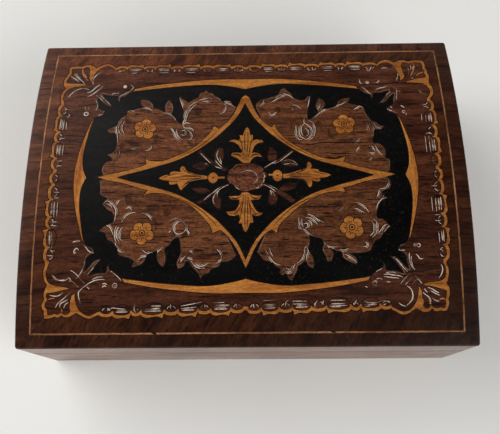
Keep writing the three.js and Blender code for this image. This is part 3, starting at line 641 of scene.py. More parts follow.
spandrels = {
    "back_left": """
    3.1,27.4* 4.5,28.3 5.2,30 6.8,30.4 8,30 9.3,31.5 11,32.5 11.8,33.6 13.6,34.2 14,35.5* 15,34.3
    16.5,33.8 17,32.2 18.5,31.3 19.5,30.5 20.5,29.8 21.5,30.5 22.5,31.3 24,32.8* 23.8,30.5 23,28 22.3,26
    22.3,23.5 22.5,20.5* 24,21.5 25,23.3 26.3,24.8 25.8,26.5 26,28.5 27.5,31* 28.7,29.5 29,27.5
    28.6,25.6* 30,26.3 31.5,27.2 33,27.7 33.3,29 35.5,31 38,31.2* 37.7,29 36.5,28* 39,27.3 41,26.6
    42.5,26.3 42.5,25 44,23.8 45.2,22.3 45.8,20.3 47.5,19.5 49.3,18.7* 48,17.2 46,17 45.5,15.5 45.2,14
    45.4,11.5 45.8,10.2 46.5,9.6 48.5,8.6* 46.8,7.4 46.4,6.5 48.2,6 49.3,4.8 49.8,3 49.3,1.2*
    """,
    "back_right": """
    3.8,27* 4,29 6,30.6 9,31.5 12,33 13,35 14.3,35.8* 15.5,34.3 16.8,33 17.5,31.5 19.5,30.3 21.3,30.3
    23,32 23.9,31.8* 23.2,29 22.8,27 22.3,24 22.5,21.8* 24.5,23 26,24.8 25.3,27.5 26.5,31* 28.5,29.5
    28.6,27.5 27.6,26.2* 30,26.5 33,28 33.3,29.3 35,30.5 38,31* 36.9,28.6* 40.5,27.6 42.3,27 42.8,25
    43.8,22.8 44.8,21.2 46.3,20.5 48,19 49.5,19* 47.5,17.5 45.7,17.4 45.3,15.3 44.7,13.5 45,12 46.5,12
    48.5,10 48.8,8 48.5,6.5 49.8,6 50,3.5 49.7,1.5*
    """,
    "front_left": """
    3,27.5* 4.3,28.8 6,29.8 8,30 9,31.3 11.5,32.2 12.5,33.6 14,34 15,35.5* 15.8,33.6 17.2,32 18,31
    19.5,29.5 20,30 20.5,31 22.5,32* 23,30 22.5,28.5 21.8,27 21.8,24.5 22.5,21.3* 24.5,22.5 25.3,23.8
    27,25.2 26.6,27.5 27,30.5 27.6,31.3* 29,30 29.7,28 29.5,26* 31,26.5 33,27.5 33.3,28.6 35,30.5
    38,31.3* 37.3,29.2* 39,28.2 41,27.7 42.5,27 43,25 44.5,23 46.3,22 47.6,19.6 49.5,19.2* 48,17.5
    46.3,16.7 45,16 44.6,14 45.3,12.5 46.3,12 47.8,10.7 48.7,9.8 48,8.5 47.2,7.6 48.5,7 49.7,6 49.8,4
    50.3,1*
    """,
    "front_right": """
    3.7,26.6* 5,28 5.8,29.2 7.5,29.7 9,30.3 10,31.5 11.5,32.2 11.3,33.5 12.2,34.4 13.3,33.8 14,35.2
    15.3,36.2* 16,34.8 17,33 17.5,31.3 18.5,30.8 19.8,29.8 21,31.6 22.5,32.1* 22.7,30 22.2,28 21,26
    21.5,23.5 21.4,21* 23.6,21.9 24.8,22 26,23.8 25.5,26 26.5,28 27.2,29.8 28.5,29.9* 29,28.5 29.3,27.3
    28,25.4* 30,26.3 32,27 32.2,28.5 33.5,29.6 36.8,31* 37,29.5 35.8,28 34.5,27.3* 37.2,27.2 39.5,27
    41.5,26.3 42.3,24.8 43.5,23 45,22.3 46,20.8 48.6,18.4* 47.5,17 46,15.7 44.5,15.4 44.3,13.5 44.8,12
    45.5,10 48.5,8.5* 47,7.5 46.5,6.5 47.5,5.5 49,5.2 49.6,4 49.6,2*
    """,
}
# The fleurs-de-lis, rosette and sprays stand in all four directions from the lid's middle
fleurs = {
    "back": ["""
    -0.8,4.9* -1.5,5.5 -3,6.8 -4.2,7.3 -5.1,8* -4.5,8.8 -3,9 -1.4,8.8* -1.2,9.5 -1.8,10.6 -2.5,11.8
    -4,12.9 -5.8,13.2* -5,14 -3.8,14.1 -2.3,13.7* -1.9,14.6 -2.2,16* -0.9,15.7* -0.6,16.8 0,18.3 0.6,19
    1.3,18.5 1.7,17.3 1.9,15.8* 2.9,16* 2.8,15 2.7,13.9* 3.6,14 5,14 6.3,13.4 6.6,12.8* 5.2,12.6 4,12
    3.2,11 2.8,9.8 2.4,8.8* 3.5,8.9 4.8,8.5 5.7,7.6 6.1,6.9* 5,7.2 4,7.3 3,6.8 2.2,6 1.7,4.9*
    """],
    "front": ["""
    -1.3,-5.9* -1.8,-6.8 -3.6,-7.1 -5.9,-7.2* -5,-8.2 -3.5,-8.6 -2.1,-8.6* -2.2,-9.8 -2.6,-11 -3.6,-12.2
    -5,-12.5 -6.6,-12.6* -5.8,-13.8 -4.3,-14.3 -3,-14.1 -2.1,-13.9* -2,-15 -2.4,-16.9* -1.3,-16.9*
    -1,-18 -0.5,-19.4 0,-19.9 0.6,-19.3 1.2,-18 1.6,-16.8* 2.8,-16.6* 2.6,-15.5 2.3,-13.9* 3.5,-14.3
    4.6,-14.3 5.5,-13.8 5.9,-13.1* 4.6,-13 3.5,-12 2.7,-10.5 2,-8.8* 3.3,-8.7 4.7,-8.4 5.3,-7.6
    5.7,-6.9* 4.5,-7.1 3,-6.9 1.7,-6.4 1,-5.8*
    """],
    "left": ["""
    -12.9,0.3* -15,0.6 -17,1 -19,1.7 -20.2,2.4 -21,3.7 -21.8,4.1* -22.6,3.1 -22.3,1.9* -23.5,2 -25,2.1
    -26,1.6* -26,0.9* -27.5,0.8 -29,0.2 -29.9,-0.5* -28.5,-1.2 -27,-1.4 -26.2,-1.6* -26.3,-2.3
    -25.8,-2.9 -25,-2.9 -23.4,-2.5* -23,-3.5 -22.3,-4.7 -21.8,-5* -21,-4 -20,-3 -19,-2 -17,-1.4 -15,-1.1
    -12.9,-1*
    """,
             """
    -12.9,-0.5 -12.3,1 -11.1,1.6 -9.9,1 -9.3,0* -6.9,0* -6.9,-0.9* -9.3,-0.9* -9.9,-2 -11.1,-2.6
    -12.3,-2
    """],
    "right": ["""
    12.9,0.8* 14,0.8 16,1.2 18,1.9 20,2.5 21,3 21.3,4.4 22,5.2 22.8,4.4 23,3.2 22.6,2.6* 24,2.5 25.2,2.2
    25.6,1.4* 27,1.1 28.5,0.7 29.5,0.1* 28.5,-0.5 27,-0.9 25.6,-1.1* 25.8,-1.8 25.2,-2.3 24,-2.2
    22.9,-1.8* 23,-3 22.6,-4 22,-4.4 21.3,-3.5 20.8,-2.5 20,-1.8 18,-1.2 16,-0.9 14,-1 12.9,-0.9*
    """,
              """
    12.9,0.1 12.2,1.8 11.1,2.3 10,1.8 9.3,0.8* 7.9,0.8* 7.9,0* 9.3,0* 10,-1.6 11.1,-2.1 12.2,-1.6
    """],
}
rosette = [
    """
    -6.2,0 -5.7,1.3 -6,2.2* -4.5,3 -3.3,4.2 -2,4.7 0,4.8 2,4.8 3.3,4.5 4.6,3.9 5.8,3.2 6.3,2.6* 6.2,1.4*
    7.2,1 7.4,0 6.8,-0.9* 6.5,-2.5 6,-3.8 4.5,-4.6 2.5,-5 0,-5.7 -2,-5.1 -3.3,-4.2 -4,-3.2 -5.3,-2.6
    -6,-1.5
    """,
    "-5.9,2.6* -8,3.9 -10.5,5.6 -12.7,6.9 -15.5,10* -16.9,9.3* -14.5,7 -12,4.8 -10,3.3 -7,1.9*",
    """
    -6.8,3.3* -8,4.6 -7.9,6 -7.5,7.5 -7.5,9 -7.8,10.7 -9,11 -10.3,9.8 -10.8,8 -10.5,6 -9.7,4.6 -8.4,3.2*
    """,
    "-12.3,4.1* -13.5,5 -15,5.5 -16.7,5 -18.6,4* -17,3 -15,2.5 -13.3,3.1*",
    "-5.3,-2.5* -8,-3.5 -11,-5.3 -13.8,-7.6 -17,-9.2* -15.6,-10* -13,-8.3 -11,-6.6 -8.5,-4.9 -5.8,-3.4*",
    "-8.5,-4.9* -10.4,-6 -11.3,-8 -10.8,-10.3 -9.5,-11.6 -8.3,-12* -8.3,-10 -8.2,-8.5 -9.2,-7.4 -9.3,-6*",
    "-12,-5.1* -14,-4.2 -16,-4 -18.4,-4.3* -17,-5.5 -15.5,-6.1 -13.5,-6 -12.2,-5.5*",
    "6.2,3* 9,4.9 12,6.6 14.5,8.6 16,9.9* 17.2,9.1* 14.8,7.3 12.3,5.4 9,3.9 6.8,2.5*",
    "8,5.6* 7.8,7.5 8.2,9.5 8.6,11* 10,10 11,8.5 10.9,6.8 10,5.6*",
    "12.5,5.4* 14,6.2 16,6 17.6,5 18.4,3.8* 16.5,3.5 14.5,3.6 12.5,4.4*",
    "6,-2.5* 8.5,-3.4 12,-5.3 14.3,-6.6 17,-9* 15.8,-9.9* 13,-7.9 11,-6.6 8.5,-4.6 6.2,-3.6*",
    "11.5,-4.9* 13,-3.4 15,-2.7 17.5,-2.8* 17.3,-4.3 16,-5 14,-5.5 12.5,-5.6*",
    "8.2,-5* 8,-7 7.8,-9 8.5,-10.6* 10,-10 11,-8.5 10.7,-7 9.5,-5.6*",
]
flowerForm = {"petals": 5, "petalReach": 2.25, "petalRadius": 1.9, "petalTurn": 72}
flowerTurns = {"back_left": 98, "back_right": 94, "front_left": -128, "front_right": -112}  # degrees
petalSizes = (1.0, 0.92, 1.05, 0.96, 1.02)
flowerEyes = {"back_left": (35.5, 18.7), "back_right": (35, 19.7), "front_left": (34.8, 19.8),
              "front_right": (35.7, 18.5)}

# Engravings. Each text holds lines parted by semicolons, in the units of the outlines, and a width
# in millimetres after a slash where it isn't the usual one. The spandrels, heads and borders give
# each quarter as if it were the right back one, and the centre gives its places as they are.
engraving = {"white": 0.25, "whiteShare": 0.62, "widest": 0.34, "dark": 0.3, "flowerRing": 1.15,
             "flowerEye": 0.7, "eyeShare": 0.85, "shadowAside": 0.34, "shadowWidth": 0.22, "shadowTrim": 0.06,
             "hatchAside": -0.46, "hatchWidth": 0.13, "hatchTrim": 0.24, "jawAside": 0.42, "jawWidth": 0.26,
             "rimInset": 0.28, "rimWidth": 0.22}
# Dashes on a flower's petals: degrees from the petal's middle, and where they begin and end
petalDashes = ((-19, 1.5, 2.3), (0, 1.5, 2.8), (19, 1.5, 2.2), (36, 2.0, 3.3))

whiteLeaves = {
    "back_left": """
    12,31.2 13.5,31.3 15,31.1 16.8,30.6; 12.2,30.4 12.8,29.8 14,29.9 15.6,30.3; 3.4,27.3 5,28.3 6.6,29
    7.6,28.6; 7,28.4 7,26.6 7.6,25.3 8.6,24.8 9.2,25; 5.6,30 7,29.6 8.2,30.4 9.4,31; 17,30.2 19,29
    20.5,27 21.3,25 21.7,22.5 22.1,20.2; 17.6,29 19,27.5 20,26 20.8,24 21.2,22 21.5,20.6; 22.3,27
    23,29.4 23.8,31.8; 24.8,22.3 26,23.8 27.5,24.8 29.6,25.5 /0.5; 33.5,26.3 34.5,27 36,27.3 37.2,27.5;
    40,26 41,26.5 42.1,26.2; 43,22 43.7,20.5 43.8,19 43.2,17.5 42.7,16.5; 44,22.3 44.8,21 45,19
    44.5,17.3 43.5,16.2; 45,22 45.7,20.5 45.7,18.5 45.3,16.5 45,14.5 45.3,12; 44.1,10.1 44,8.5 44.8,7.2
    46.3,6.5 /0.5; 45.1,9.7 44.9,8.3 45.6,7.3 46.6,7; 33,12 32.9,11 33.7,10.2 35,10.1; 37.2,11.6 38,10.9
    39.3,10.7 40.1,11; 24.5,16 25.4,17.5 26.8,19; 26.5,19.5 25.3,17.5 24.5,15.5 23,14 21.5,13.7;
    24.3,18.5 24,16.5 22.8,14.7 21.5,14; 22,20 21.5,19 20,19 18.7,18.5 18.3,17.5; 20.5,18 19.2,17
    18.7,15.5 19.3,14.2 20.3,14.3; 22.8,17.5 21.5,18 20.7,17 21.3,16 22.5,16.2; 22.2,20 22,21.5 21.3,23;
    21.8,20.5 20.7,21.2 19.6,20.5
    """,
    "back_right": """
    9.3,29.2 10.5,30 12,31.2 13.5,32.2 15,32.7 16.3,32 17.3,30.9 /0.5; 11,31.3 13,32.8 15.2,33.1; 5,27.5
    6.2,28.8 6.8,30.1; 8.5,25.2 9.5,23.9 10.3,24.4 11.4,25.3; 17,28 18.5,27.9 19.4,27.2 20,26.2;
    16.8,26.4 17.3,26; 22.4,27 22.9,29 23.3,31.1; 26.3,31 27,29.5 27,28 26.3,26.5 25.4,26; 24,22.3
    25.5,23.5 27.5,25.3 30,26.8 33,27.6 35,28.3 36.3,29.4 /0.5; 39,25.8 40,26.5 41,27.2 42,26.7 /0.5;
    42.5,21 43.3,20 43.5,18.5 42.8,17; 43.8,20.6 44.2,19.5 44,18 43.6,16.8; 44.3,20.6 45.5,19.8
    46.5,18.6 47.4,18 48.8,17.8; 45,19.5 45.5,17.7 45.8,15.5; 37,12.1 38.5,12.5 39.6,13.3 40.4,14.1;
    38.5,8.7 39,9.7 39.9,10.8; 44,11 44.8,9.8 45,8.8; 45.3,11 46,9.5 47,8 47.6,7.3; 43,8.3 44.3,8.2
    45.3,8.6; 42.8,5.5 43.8,6.5; 21,22 21,20.5 22.3,19.5 23.5,18 23.5,16 22.5,14.3 21.3,13.8 20,14.5
    /0.45; 22.5,21.5 24,20.5 24.7,18.5 24.6,16.5 23.7,14.5 22,13.4; 18,19.5 18,17.5 18.2,15.5 19,13.8
    20,13.8; 19,18.5 19.1,16.5 19.8,14.8 20.8,14.2; 21,20.3 20,18.8 19.8,17.2 20.3,15.3; 21,18.3
    22.2,17.5 22.4,16 21.5,15
    """,
    "front_left": """
    8,28.5 8.5,29.5 9.8,30.2; 8,28 8.7,26.5 9.6,25.5; 12.5,30 13.5,30.8 15,31.2 16,30.7 17,30; 13.5,31.7
    15,31.8 16.5,31.3 17.7,30 18.4,28.9; 17.6,29 18.5,28.7 19.6,28.3; 17.4,27.3 18,26.4 18.8,26 /0.7;
    20.2,27.8 21,28.8 21.8,29.8; 27.5,24.5 28.5,25.5 30,26.7 32,26.8 33.5,26.3 34.6,25.6; 31,27.2
    33,27.7 35,28.1 35.8,29; 40.3,26 41.5,26.2 42.5,25.7 43.2,24.5 43.7,23; 41.3,22.5 42.3,21.5 42.5,20
    42,18.5 41.4,17.7; 42.3,22.7 43.3,21 43.3,19 42.7,17.5; 43.3,23 44,21 44,19 43.5,17.3; 44.5,20.3
    45,19 45.7,17.8 47,17 47.8,16.8; 44.2,15.5 44,13.5 44,11.8 44.7,10.5 45.8,9.2 47,8.5 47.8,8.9;
    45.3,11 46,10 47.3,9.5; 43,8.2 43.3,9 43.9,9.9; 31.5,15.7 32.3,14.5 33.8,13.3 35.1,12.9; 37,12.7
    38.5,12.8 40,13.5 41.3,15 41.8,16.1; 38.5,12 39.3,11 40.6,11.3; 19.9,18.5 20.3,17 21.5,15.9 23,16.3
    24,17.7 23.8,19.5 22.5,20.3 21,19.8 19.9,18.5; 22.8,20.5 24,19.3 23.9,17.5 22.8,16.5; 21.5,15.5
    23,15 24.5,15.3 25.7,15.8; 19,20.7 19.5,19.2; 25,19 25.8,19.8; 19.3,15.8 19.4,17.3 19.6,18.8 18.8,20
    """,
    "front_right": """
    6.5,25.7 7.3,27 8.5,29 10,30.5 11.6,31; 8,25.3 8.5,27 9,28; 12.5,32 13.2,33 14.2,33.3 15.2,32.8
    15.8,31.7 16.4,30.7; 13.3,31.8 14,32.3 14.8,32.2 15.5,31.2; 17,30.5 18.3,29.5 19,28.5 19.5,27
    19.7,25.5 20.3,24.7; 20.3,30 20.3,28 20.8,26.3 20.3,25.1; 29.3,27.3 28.7,26 27.4,25; 24.5,21.3
    25.3,22.5 26.3,23.8 26.9,24.3; 27,24.5 28.5,25.1 30.6,25; 31.5,25.8 32.5,26.2 33.5,26 34.4,25.4;
    33,27.5 34.3,28.2 35.5,29 36.8,30.3; 39.3,25 40.3,25 40.4,24 39.7,23.5; 41.5,21.5 42.7,20.3 43,18.7
    42.8,17 42.2,16.3; 42.3,22 43.7,20.5 44,18.5 43.8,16.5 43.1,15.8; 44.5,20.5 45.5,19.3 46.3,18.2
    47.3,17.6; 46,21 47,19.3 48.4,18; 31,13 32,12.3 33.3,11.3; 36.8,12 38,12.3 39.2,13 40.4,13.7;
    36.5,10 38,10 39.5,10.7 40.7,12 41.6,13.4; 44.3,12 44.8,10.5 45.8,9.3 46.8,8 47,7; 45.3,9.7 46.8,8.5
    48.1,8.3; 44.3,8.7 45,7.3 45.6,5.5; 45.7,5.2 47,5 48.3,4 48.9,2.5 48.9,1.2; 18,15 18,16.8 18.5,18.5
    20,19.3 21,20.3 23,21.3 24.5,20.9; 21,14 22.5,14.3 24,15.5 26.4,16.8; 20.3,15 22,15.2 23.5,16.5
    24.3,17.5; 20,18.8 21,18 20.5,17 19.5,17.3; 21,16 22,16.5 22.3,18; 19,15.5 19,17 19.4,18.4
    """,
}
# Thin ribs of boxwood that part the lobes of each corner's fan
fanRibs = {
    "back_left": "60.9,46.4 60.9,45 60.3,43 59.2,41.3 58.4,40.3 /0.5; 66,42.6 64.7,42.4 63.9,41.6 /0.4",
    "back_right": """
    62.1,47 62.8,45.4 62.4,43.6 61.6,41.8 60.6,40.2 /0.45; 66,42.2 64.4,41.7 62.9,40.6 /0.4
    """,
    "front_left": "61,46.2 60.7,45.2 60.9,44.6 /0.4; 65.6,41.6 64.4,41.3 63.2,41.1 /0.35",
    "front_right": "60.4,44.6 60.4,43.4 59.8,42.3 /0.4; 65.3,42.5 64.2,42.2 63.4,42.6 /0.4",
}
# Round each corner: the heads with their jaws and eyes, the ribbon knot and the palmette
whiteHeads = {
    "back_left": """
    42.2,37.9 41.1,36.7 42,35.4 44,33.8 45.7,32.7 46,31.7 45.3,30; 46.2,34.2 47.3,34.3 48.8,33.7 /0.6;
    52.4,37.7 53,36.7 54.7,35 56.3,33.5 57.6,32.9 /0.55; 53.5,38.3 54.7,37.3 55.9,35.8 57.2,34.8 58,34.9
    /0.55; 53.4,44.2 54.7,43.5 55.7,42.3 56.4,41 56.4,39.6 56.1,38.3 /0.55; 50.9,29.2 52.6,31.7
    54.5,33.5; 48.8,29 51.3,31.7 53,33.3; 63.3,43.8 62.6,42.7 61.5,41.3 59.9,39.4 59,38.1; 64.7,41.9
    63.4,41.3 62.4,40.4 61.5,39.6 /0.65; 63.8,43.3 62.4,41.7 60.9,40.2; 60.5,45.2 60.1,43.8 59,41.7;
    57.2,36 58.8,36.5 60.5,36.5 62,35.8 63,35; 62.8,35.3 63.6,34.2 64.7,32.7 /0.7; 54.5,31.7 53.8,30.2
    53.4,29 53.6,27.5 54,26.5 /0.5; 50.5,24.7 52.2,24.8 53.2,23.8 54.7,22.7 /0.45; 50.3,26.1 51.3,26.2;
    52.4,22.3 53.4,22.5 /0.5; 56.5,28.3 56.8,27; 58,28.5 57.6,26.9
    """,
    "back_right": """
    42,39.2 42.2,37.5 42.8,37.1 /0.5; 49.2,38.8 48.4,37.7 47.2,37.5 /0.5; 42.4,35.8 43.4,34.8 44.7,33.3
    45.7,32.3; 41.5,33.5 42.8,33.5; 47.4,34.2 48.8,35 50.5,35.4 51.8,36 /0.5; 48.2,29.8 49.7,30.8
    50.9,31.9 52.6,33.3 /0.45; 53,36.5 54.3,35.2 55.3,34.2 56.3,33.1 /0.45; 55.9,35.8 55.1,34.6 55,33
    54.7,31.3 54.6,30 /0.4; 54.9,45.2 55.7,44 56.3,42.3 56.3,40.8 55.7,39.2 55.3,38.3 /0.45; 50.5,44.2
    51.5,44.5 52.6,44.4 53.4,43.5 /0.45; 60.4,44.4 60.5,42.9 60.1,41 /0.45; 61.4,45.8 61.5,44.2
    61.1,42.9; 62.6,45.2 62.2,44 62.3,43; 63.6,42.3 62.8,41.7 62,41; 61.1,39.8 61.8,39.4; 63,34 64,32.7
    64.9,32.1 65.9,31.7; 55.7,27.3 56.4,26.9 57,26.3 /0.9; 57.6,24 57.2,23.3; 49.7,26.9 50.9,25.8
    52.6,25 54,24.2 /0.5; 50.5,27.3 52.2,26.9 52.6,26.2 /0.5; 53,22.5 53.4,21.9 /0.6
    """,
    "front_left": """
    46.1,37.5 47,37.3 47.6,37.9 /0.5; 45.9,36.9 46.8,36.5 47.6,36.7 /0.45; 41.1,35.8 42.2,34.6 43.4,33.5
    44.5,32.7 45.3,30.8 /0.4; 46.8,35.2 48.4,35.2 49.7,35.4 51.3,36 53,37.1 54.5,38.3 55.3,39.2
    55.3,40.8 54.9,42.1 54.7,42.9 /0.5; 47.2,34.4 48.4,34.3 49.7,34.6 50.9,35.2 /0.42; 51.8,38.3
    52.6,37.5; 55.3,37.7 56.3,36.9 57.4,35.8 58.8,35.6 /0.42; 53.4,36.5 54.7,35.2 55.9,33.8 57.2,32.7
    58.4,32.1 /0.42; 57.8,35.6 58.8,34.4; 56.5,35 55.7,34.2 54.7,32.7 54,31.3 53.7,30 53.8,29.2 /0.42;
    58.8,34.6 60.1,35.4 61.5,35.4 62.8,35 63.6,34.2 64.5,33.5 /0.45; 49,30 50.9,31.7 52.6,33.5 /0.42;
    47.8,29.2 48.3,29.2 /0.8; 55.9,25.4 56.5,24.8 57.4,25.6 57.2,26.5 56.8,26 /0.5; 50.3,26.3 51.3,26.3
    52.6,25.6 53.4,24.6 54,24 /0.45; 55.5,22.3 56.8,22.4 58,22.7 /0.55; 60.1,44.4 59.7,43.3 58.6,42.5
    /0.5; 61.4,44.2 61.2,42.9 60.1,42.3 58.8,41.5 /0.5; 62.9,44.2 62,42.7 60.5,41.5 59.3,40.4 58,39.4
    /0.5; 60.5,39.3 61.5,40.1 62.6,40.5 63.8,40.4 64.9,40.2 /0.42
    """,
    "front_right": """
    50.1,43.5 51.1,44.2 52.4,44.6 /0.42; 52.6,44.3 53.8,43.3 54.7,41.9 54.7,40.4 54,38.8 53,38.1 /0.6;
    42,37.5 42.6,38 43.4,37.9 /0.5; 41.8,36.8 42.8,36.4 43.4,36.7 /0.6; 43,35.8 44.3,35.6 45,36;
    46.3,36.7 47.6,36.7 /0.6; 39.3,38.1 40.1,38.5 /0.45; 39.7,35.8 40.9,34.6 42.4,33.6 44,32.9 45.1,32.3
    /0.42; 45.5,35 47.2,35.2 48.8,35.4 50.5,35.6; 45.5,34.4 47.2,34.2 48.4,34.5 50.5,34.8 51.8,35.2
    /0.5; 46.3,33.8 48,33.5 49.7,34 /0.42; 52.4,37.7 53.4,36.7 55.1,35.2 /0.45; 54.7,37.7 55.7,36.5
    57.2,35.8 /0.42; 50.9,37.5 52.2,35.8 54.3,34 /0.3; 58.2,37.7 57.4,36.7 56.3,35.4 55.7,34.6 /0.42;
    49,28.5 50.5,30 51.8,31.7 53.4,33.5 /0.5; 55.9,32.9 54.9,31.7 54.3,30.2 54.2,28.8 54.3,27.3 /0.6;
    55.3,31.7 54.8,30 54.9,28.3; 58.8,29.2 57.6,29.2 57.2,28.5 56.5,27.7 /0.45; 50.5,25.9 51.5,26.4
    53,26.3 /0.42; 51.5,24.9 52.6,24.3 53.8,23.3 54.7,22.3 /0.42; 63.6,35.6 64.3,34.6 64.9,33.1
    64.9,32.1 64.5,31.3 /0.48; 59.9,44 60.5,43.1 60.1,41.9 59,41 58,40.2 /0.42; 60.9,41.9 62,42.7
    63.2,43.1 /0.5; 59.7,38.6 61.3,39.2 62.4,40 63.4,40.4 /0.7; 60.7,39.7 62,40.5 63.6,41.2 /0.42;
    58.6,39 59.5,40.2
    """,
}
# On the frieze behind the scallops: two lines along each reel and short ones across each bead
whiteBeads = {
    "back_left": """
    18.4,44.6 22,44.7; 18.6,43.5 22,43.5; 28.3,44.6 32,44.7 /0.42; 28.6,43.5 31.8,43.5; 39.8,44.7
    42.4,44.7 /0.45; 40.3,43.6 42.5,43.4 /0.45; 7.5,44.2 10.4,44.2 /0.3; 34.7,45.2 34.8,43.6; 24.5,45.2
    24.4,43.8; 26.5,45.3 26.5,43.8; 13.5,45.1 13.6,43.8; 15,45.1 15,43.7; 2.8,45.1 2.7,43.8; 1,45
    1.1,43.8; 46.2,44.4 47,44.3 47.8,44 /0.6
    """,
    "back_right": """
    7,44.5 10.4,44.5 /0.6; 7.4,43.4 10.4,43.5; 17,44.4 20.4,44.3 /0.9; 29,44.7 32.4,44.7; 29.2,43.5
    32.2,43.6; 39.3,45.3 42.6,45.1 /0.5; 39.3,44 42.6,44 /0.5; 1.5,45.2 2.5,43.8; 12.5,45.2 12.6,43.7;
    13.5,45.1 13.4,43.7; 23.3,45.2 23.4,43.8; 25,45.2 25,43.7; 34.6,45.1 34.8,43.8; 36,45.2 35.9,43.8;
    45,43.9 45.7,43.1 46.4,43.8 46.8,45.2 /0.5
    """,
    "front_left": """
    5.4,43.8 10,43.8 /0.5; 7,42.9 10.7,43; 14.6,42.8 18,43.4 21.4,44; 16,44.3 21.5,44.8; 28,43.9
    31.3,43.9 /0.5; 28.2,44.6 31.2,44.7 /0.45; 39.9,44.8 42.2,44.6 44.3,44.5 44.9,44.8 /0.42; 36.5,43.3
    36.8,45 36.2,46; 24.8,43.3 24.8,44.8; 13.5,43.5 13.5,44.5; 3.2,43.2 3.2,44.4; 45.3,44.6 45.5,45.3
    /1.0
    """,
    "front_right": """
    5.8,42.4 9.5,42.4; 5.8,43.8 9.5,43.8 /0.6; 15.3,42.7 20,42.7; 15.3,43.6 20,43.6; 27.8,42.5
    32.5,42.5; 28,43.6 31,43.6; 28,44.6 31,44.6; 38.8,42.8 40.1,43.3 42.2,43.5 43.4,43.2 45.1,42.7
    46.8,43.3 /0.42; 39,44.6 40.7,44.4; 2.5,43.5 2.6,44.7; 13,44.3 13.2,43 14,42.4; 22.7,45 22.8,43.5
    23.5,42.5; 25,43.8 25.5,42.6; 35.5,44 36.3,42.5; 45,44.8 45.3,44 45.9,43.8
    """,
}
whiteSideBeads = {
    "back_left": """
    63.9,22 63.8,20.4 63.8,18.8 /0.45; 64.8,22.6 64.9,18.6 /0.55; 65.9,21.8 66.1,20 /0.5; 64,12.8
    64,8.5; 65,12.6 65,8.7 /0.45; 63.8,15.3 65.7,15.3; 63.8,6.5 65.6,6.4; 63.8,4.6 65.6,4.6; 63.6,25.4
    63.2,25 64,23.8; 64,27.4 65.2,27.2
    """,
    "back_right": """
    62.8,23.8 62.6,20.8 /0.45; 64.2,23.1 64,20.4 /0.45; 65.2,23 65.1,20.6; 63,14.6 63,8.2; 64.3,14.6
    64.3,8 /0.42; 65.2,14 65.2,8.6; 63.4,15.7 65.4,15.7; 63.5,5 65.4,5; 63.6,27.7 64.9,27.5; 63.9,26.6
    65,26.9
    """,
    "front_left": """
    65.1,24.8 64.9,22.7 65.1,21.3 /0.45; 65.9,24.4 65.7,22 65.9,20.2 /0.42; 64,13.8 64,8.6; 65,14 65,8.5
    /0.42; 66,13.2 66,9.4; 63.8,25.6 64.9,25.5; 64.5,27.2 66.5,27.2; 63.8,15.7 65.7,15.7; 63.8,17
    65.6,17; 63.8,5.2 65.6,5.2; 63.8,7.2 65.6,7.2; 64.3,33.5 63.3,35 61.5,35.3 60,35
    """,
    "front_right": """
    64.5,24 64.5,21.3 64.3,20.2 /0.42; 65.5,23.3 65.5,21.5 /0.5; 63,13.2 63,8.2; 64.3,13.4 64.3,8.4
    /0.42; 65.2,13 65.2,8.8; 63.4,4.3 65.4,4.3; 63.5,14.5 65.4,14.5; 63.5,16.5 65.4,16.5; 64.3,26.3
    64.9,26.3 65.5,27.1 /0.42
    """,
}
eyes = {
    "back_left": ((44.2, 37.2, 0.8, 0.0), (57.2, 25.3, 1.05, 0.5)),
    "back_right": ((44.7, 37.7, 0.75, 0.0), (56.6, 24.6, 0.7, 0.35)),
    "front_left": ((43.4, 37.2, 1.0, 0.62), (43.3, 37.3, 0.3, 0.0)),
    "front_right": ((42.4, 37.2, 0.95, 0.55), (56.4, 24.7, 0.7, 0.0), (57.5, 24.8, 0.8, 0.42)),
}
# The rosette and its sprays
whiteCentre = """
    -5.7,2.5 -7,3.7 -8.5,5 -9.5,6.5 -9.9,8 -9.4,9.8; -6.2,3 -7.5,4.5 -8.3,5.5 -8.8,7; -8,3.3 -9.5,4.8
    -10.6,6.3; -12,5 -13.5,6.5 -15.5,8.8; -8,2.9 -10,3.5 -12.3,4.5 -14,4.8; -5.8,2.4 -4.5,2.9 -3.5,4
    -2,4.7 0,4.7; -5,-2.3 -7,-3 -9,-4.2 -10.5,-5.5 -12.5,-7 -14,-8.5; -5.5,-3 -8,-4.3 -9.5,-6 -9,-7.7
    -8.3,-8.3; -7,-3.8 -9,-5 -10.5,-6.8 -11,-8.5 -10.5,-10; -4,-3 -3.3,-4 -2,-4.9; 6.2,2.8 8,4 10,5.3
    11.5,6.6 11.5,7.5; 6,3.5 8,4.7 10.5,6 11,7.5; 9,4.7 12,5.3 13,6.3 14.5,7.5 16.5,9.2; 12.5,4 14.5,4.4
    17,4.3 18.2,3.8; 13.5,5.5 15.5,6 17.3,5 18,4.2; 3.3,4.5 4.6,3.9 5.8,3.1 6.2,2.7; 6.2,1.4 7,1.2 7.4,0
    7,-0.8; -1.5,1.3 1,2.1 3,1.5 4.1,0 4,-1.5 2.7,-2.9; 6,-2.2 8,-3.2 10,-4.3 12,-5.3; 6,-3 8,-4 10,-5.5
    11,-7.3; 6.3,-3.5 8,-4.8 9.5,-6 10,-7.3; 7,-4 8.5,-5.3 9,-7; 2.4,5 3.3,5.1 3.9,4.6; 4.1,4.5 4.9,4.2
    5.2,3.6; 5.4,3.4 6.1,3 6.1,2.3; 6.1,2 6.6,1.5 6.3,0.8; 6.3,0.5 6.7,-0.1 6.3,-0.8; 6.3,-1 6.4,-1.8
    5.9,-2.2; 5.7,-2.5 5.6,-3.3 5,-3.5; 4.7,-3.7 4.2,-4.4 3.6,-4.2
    """
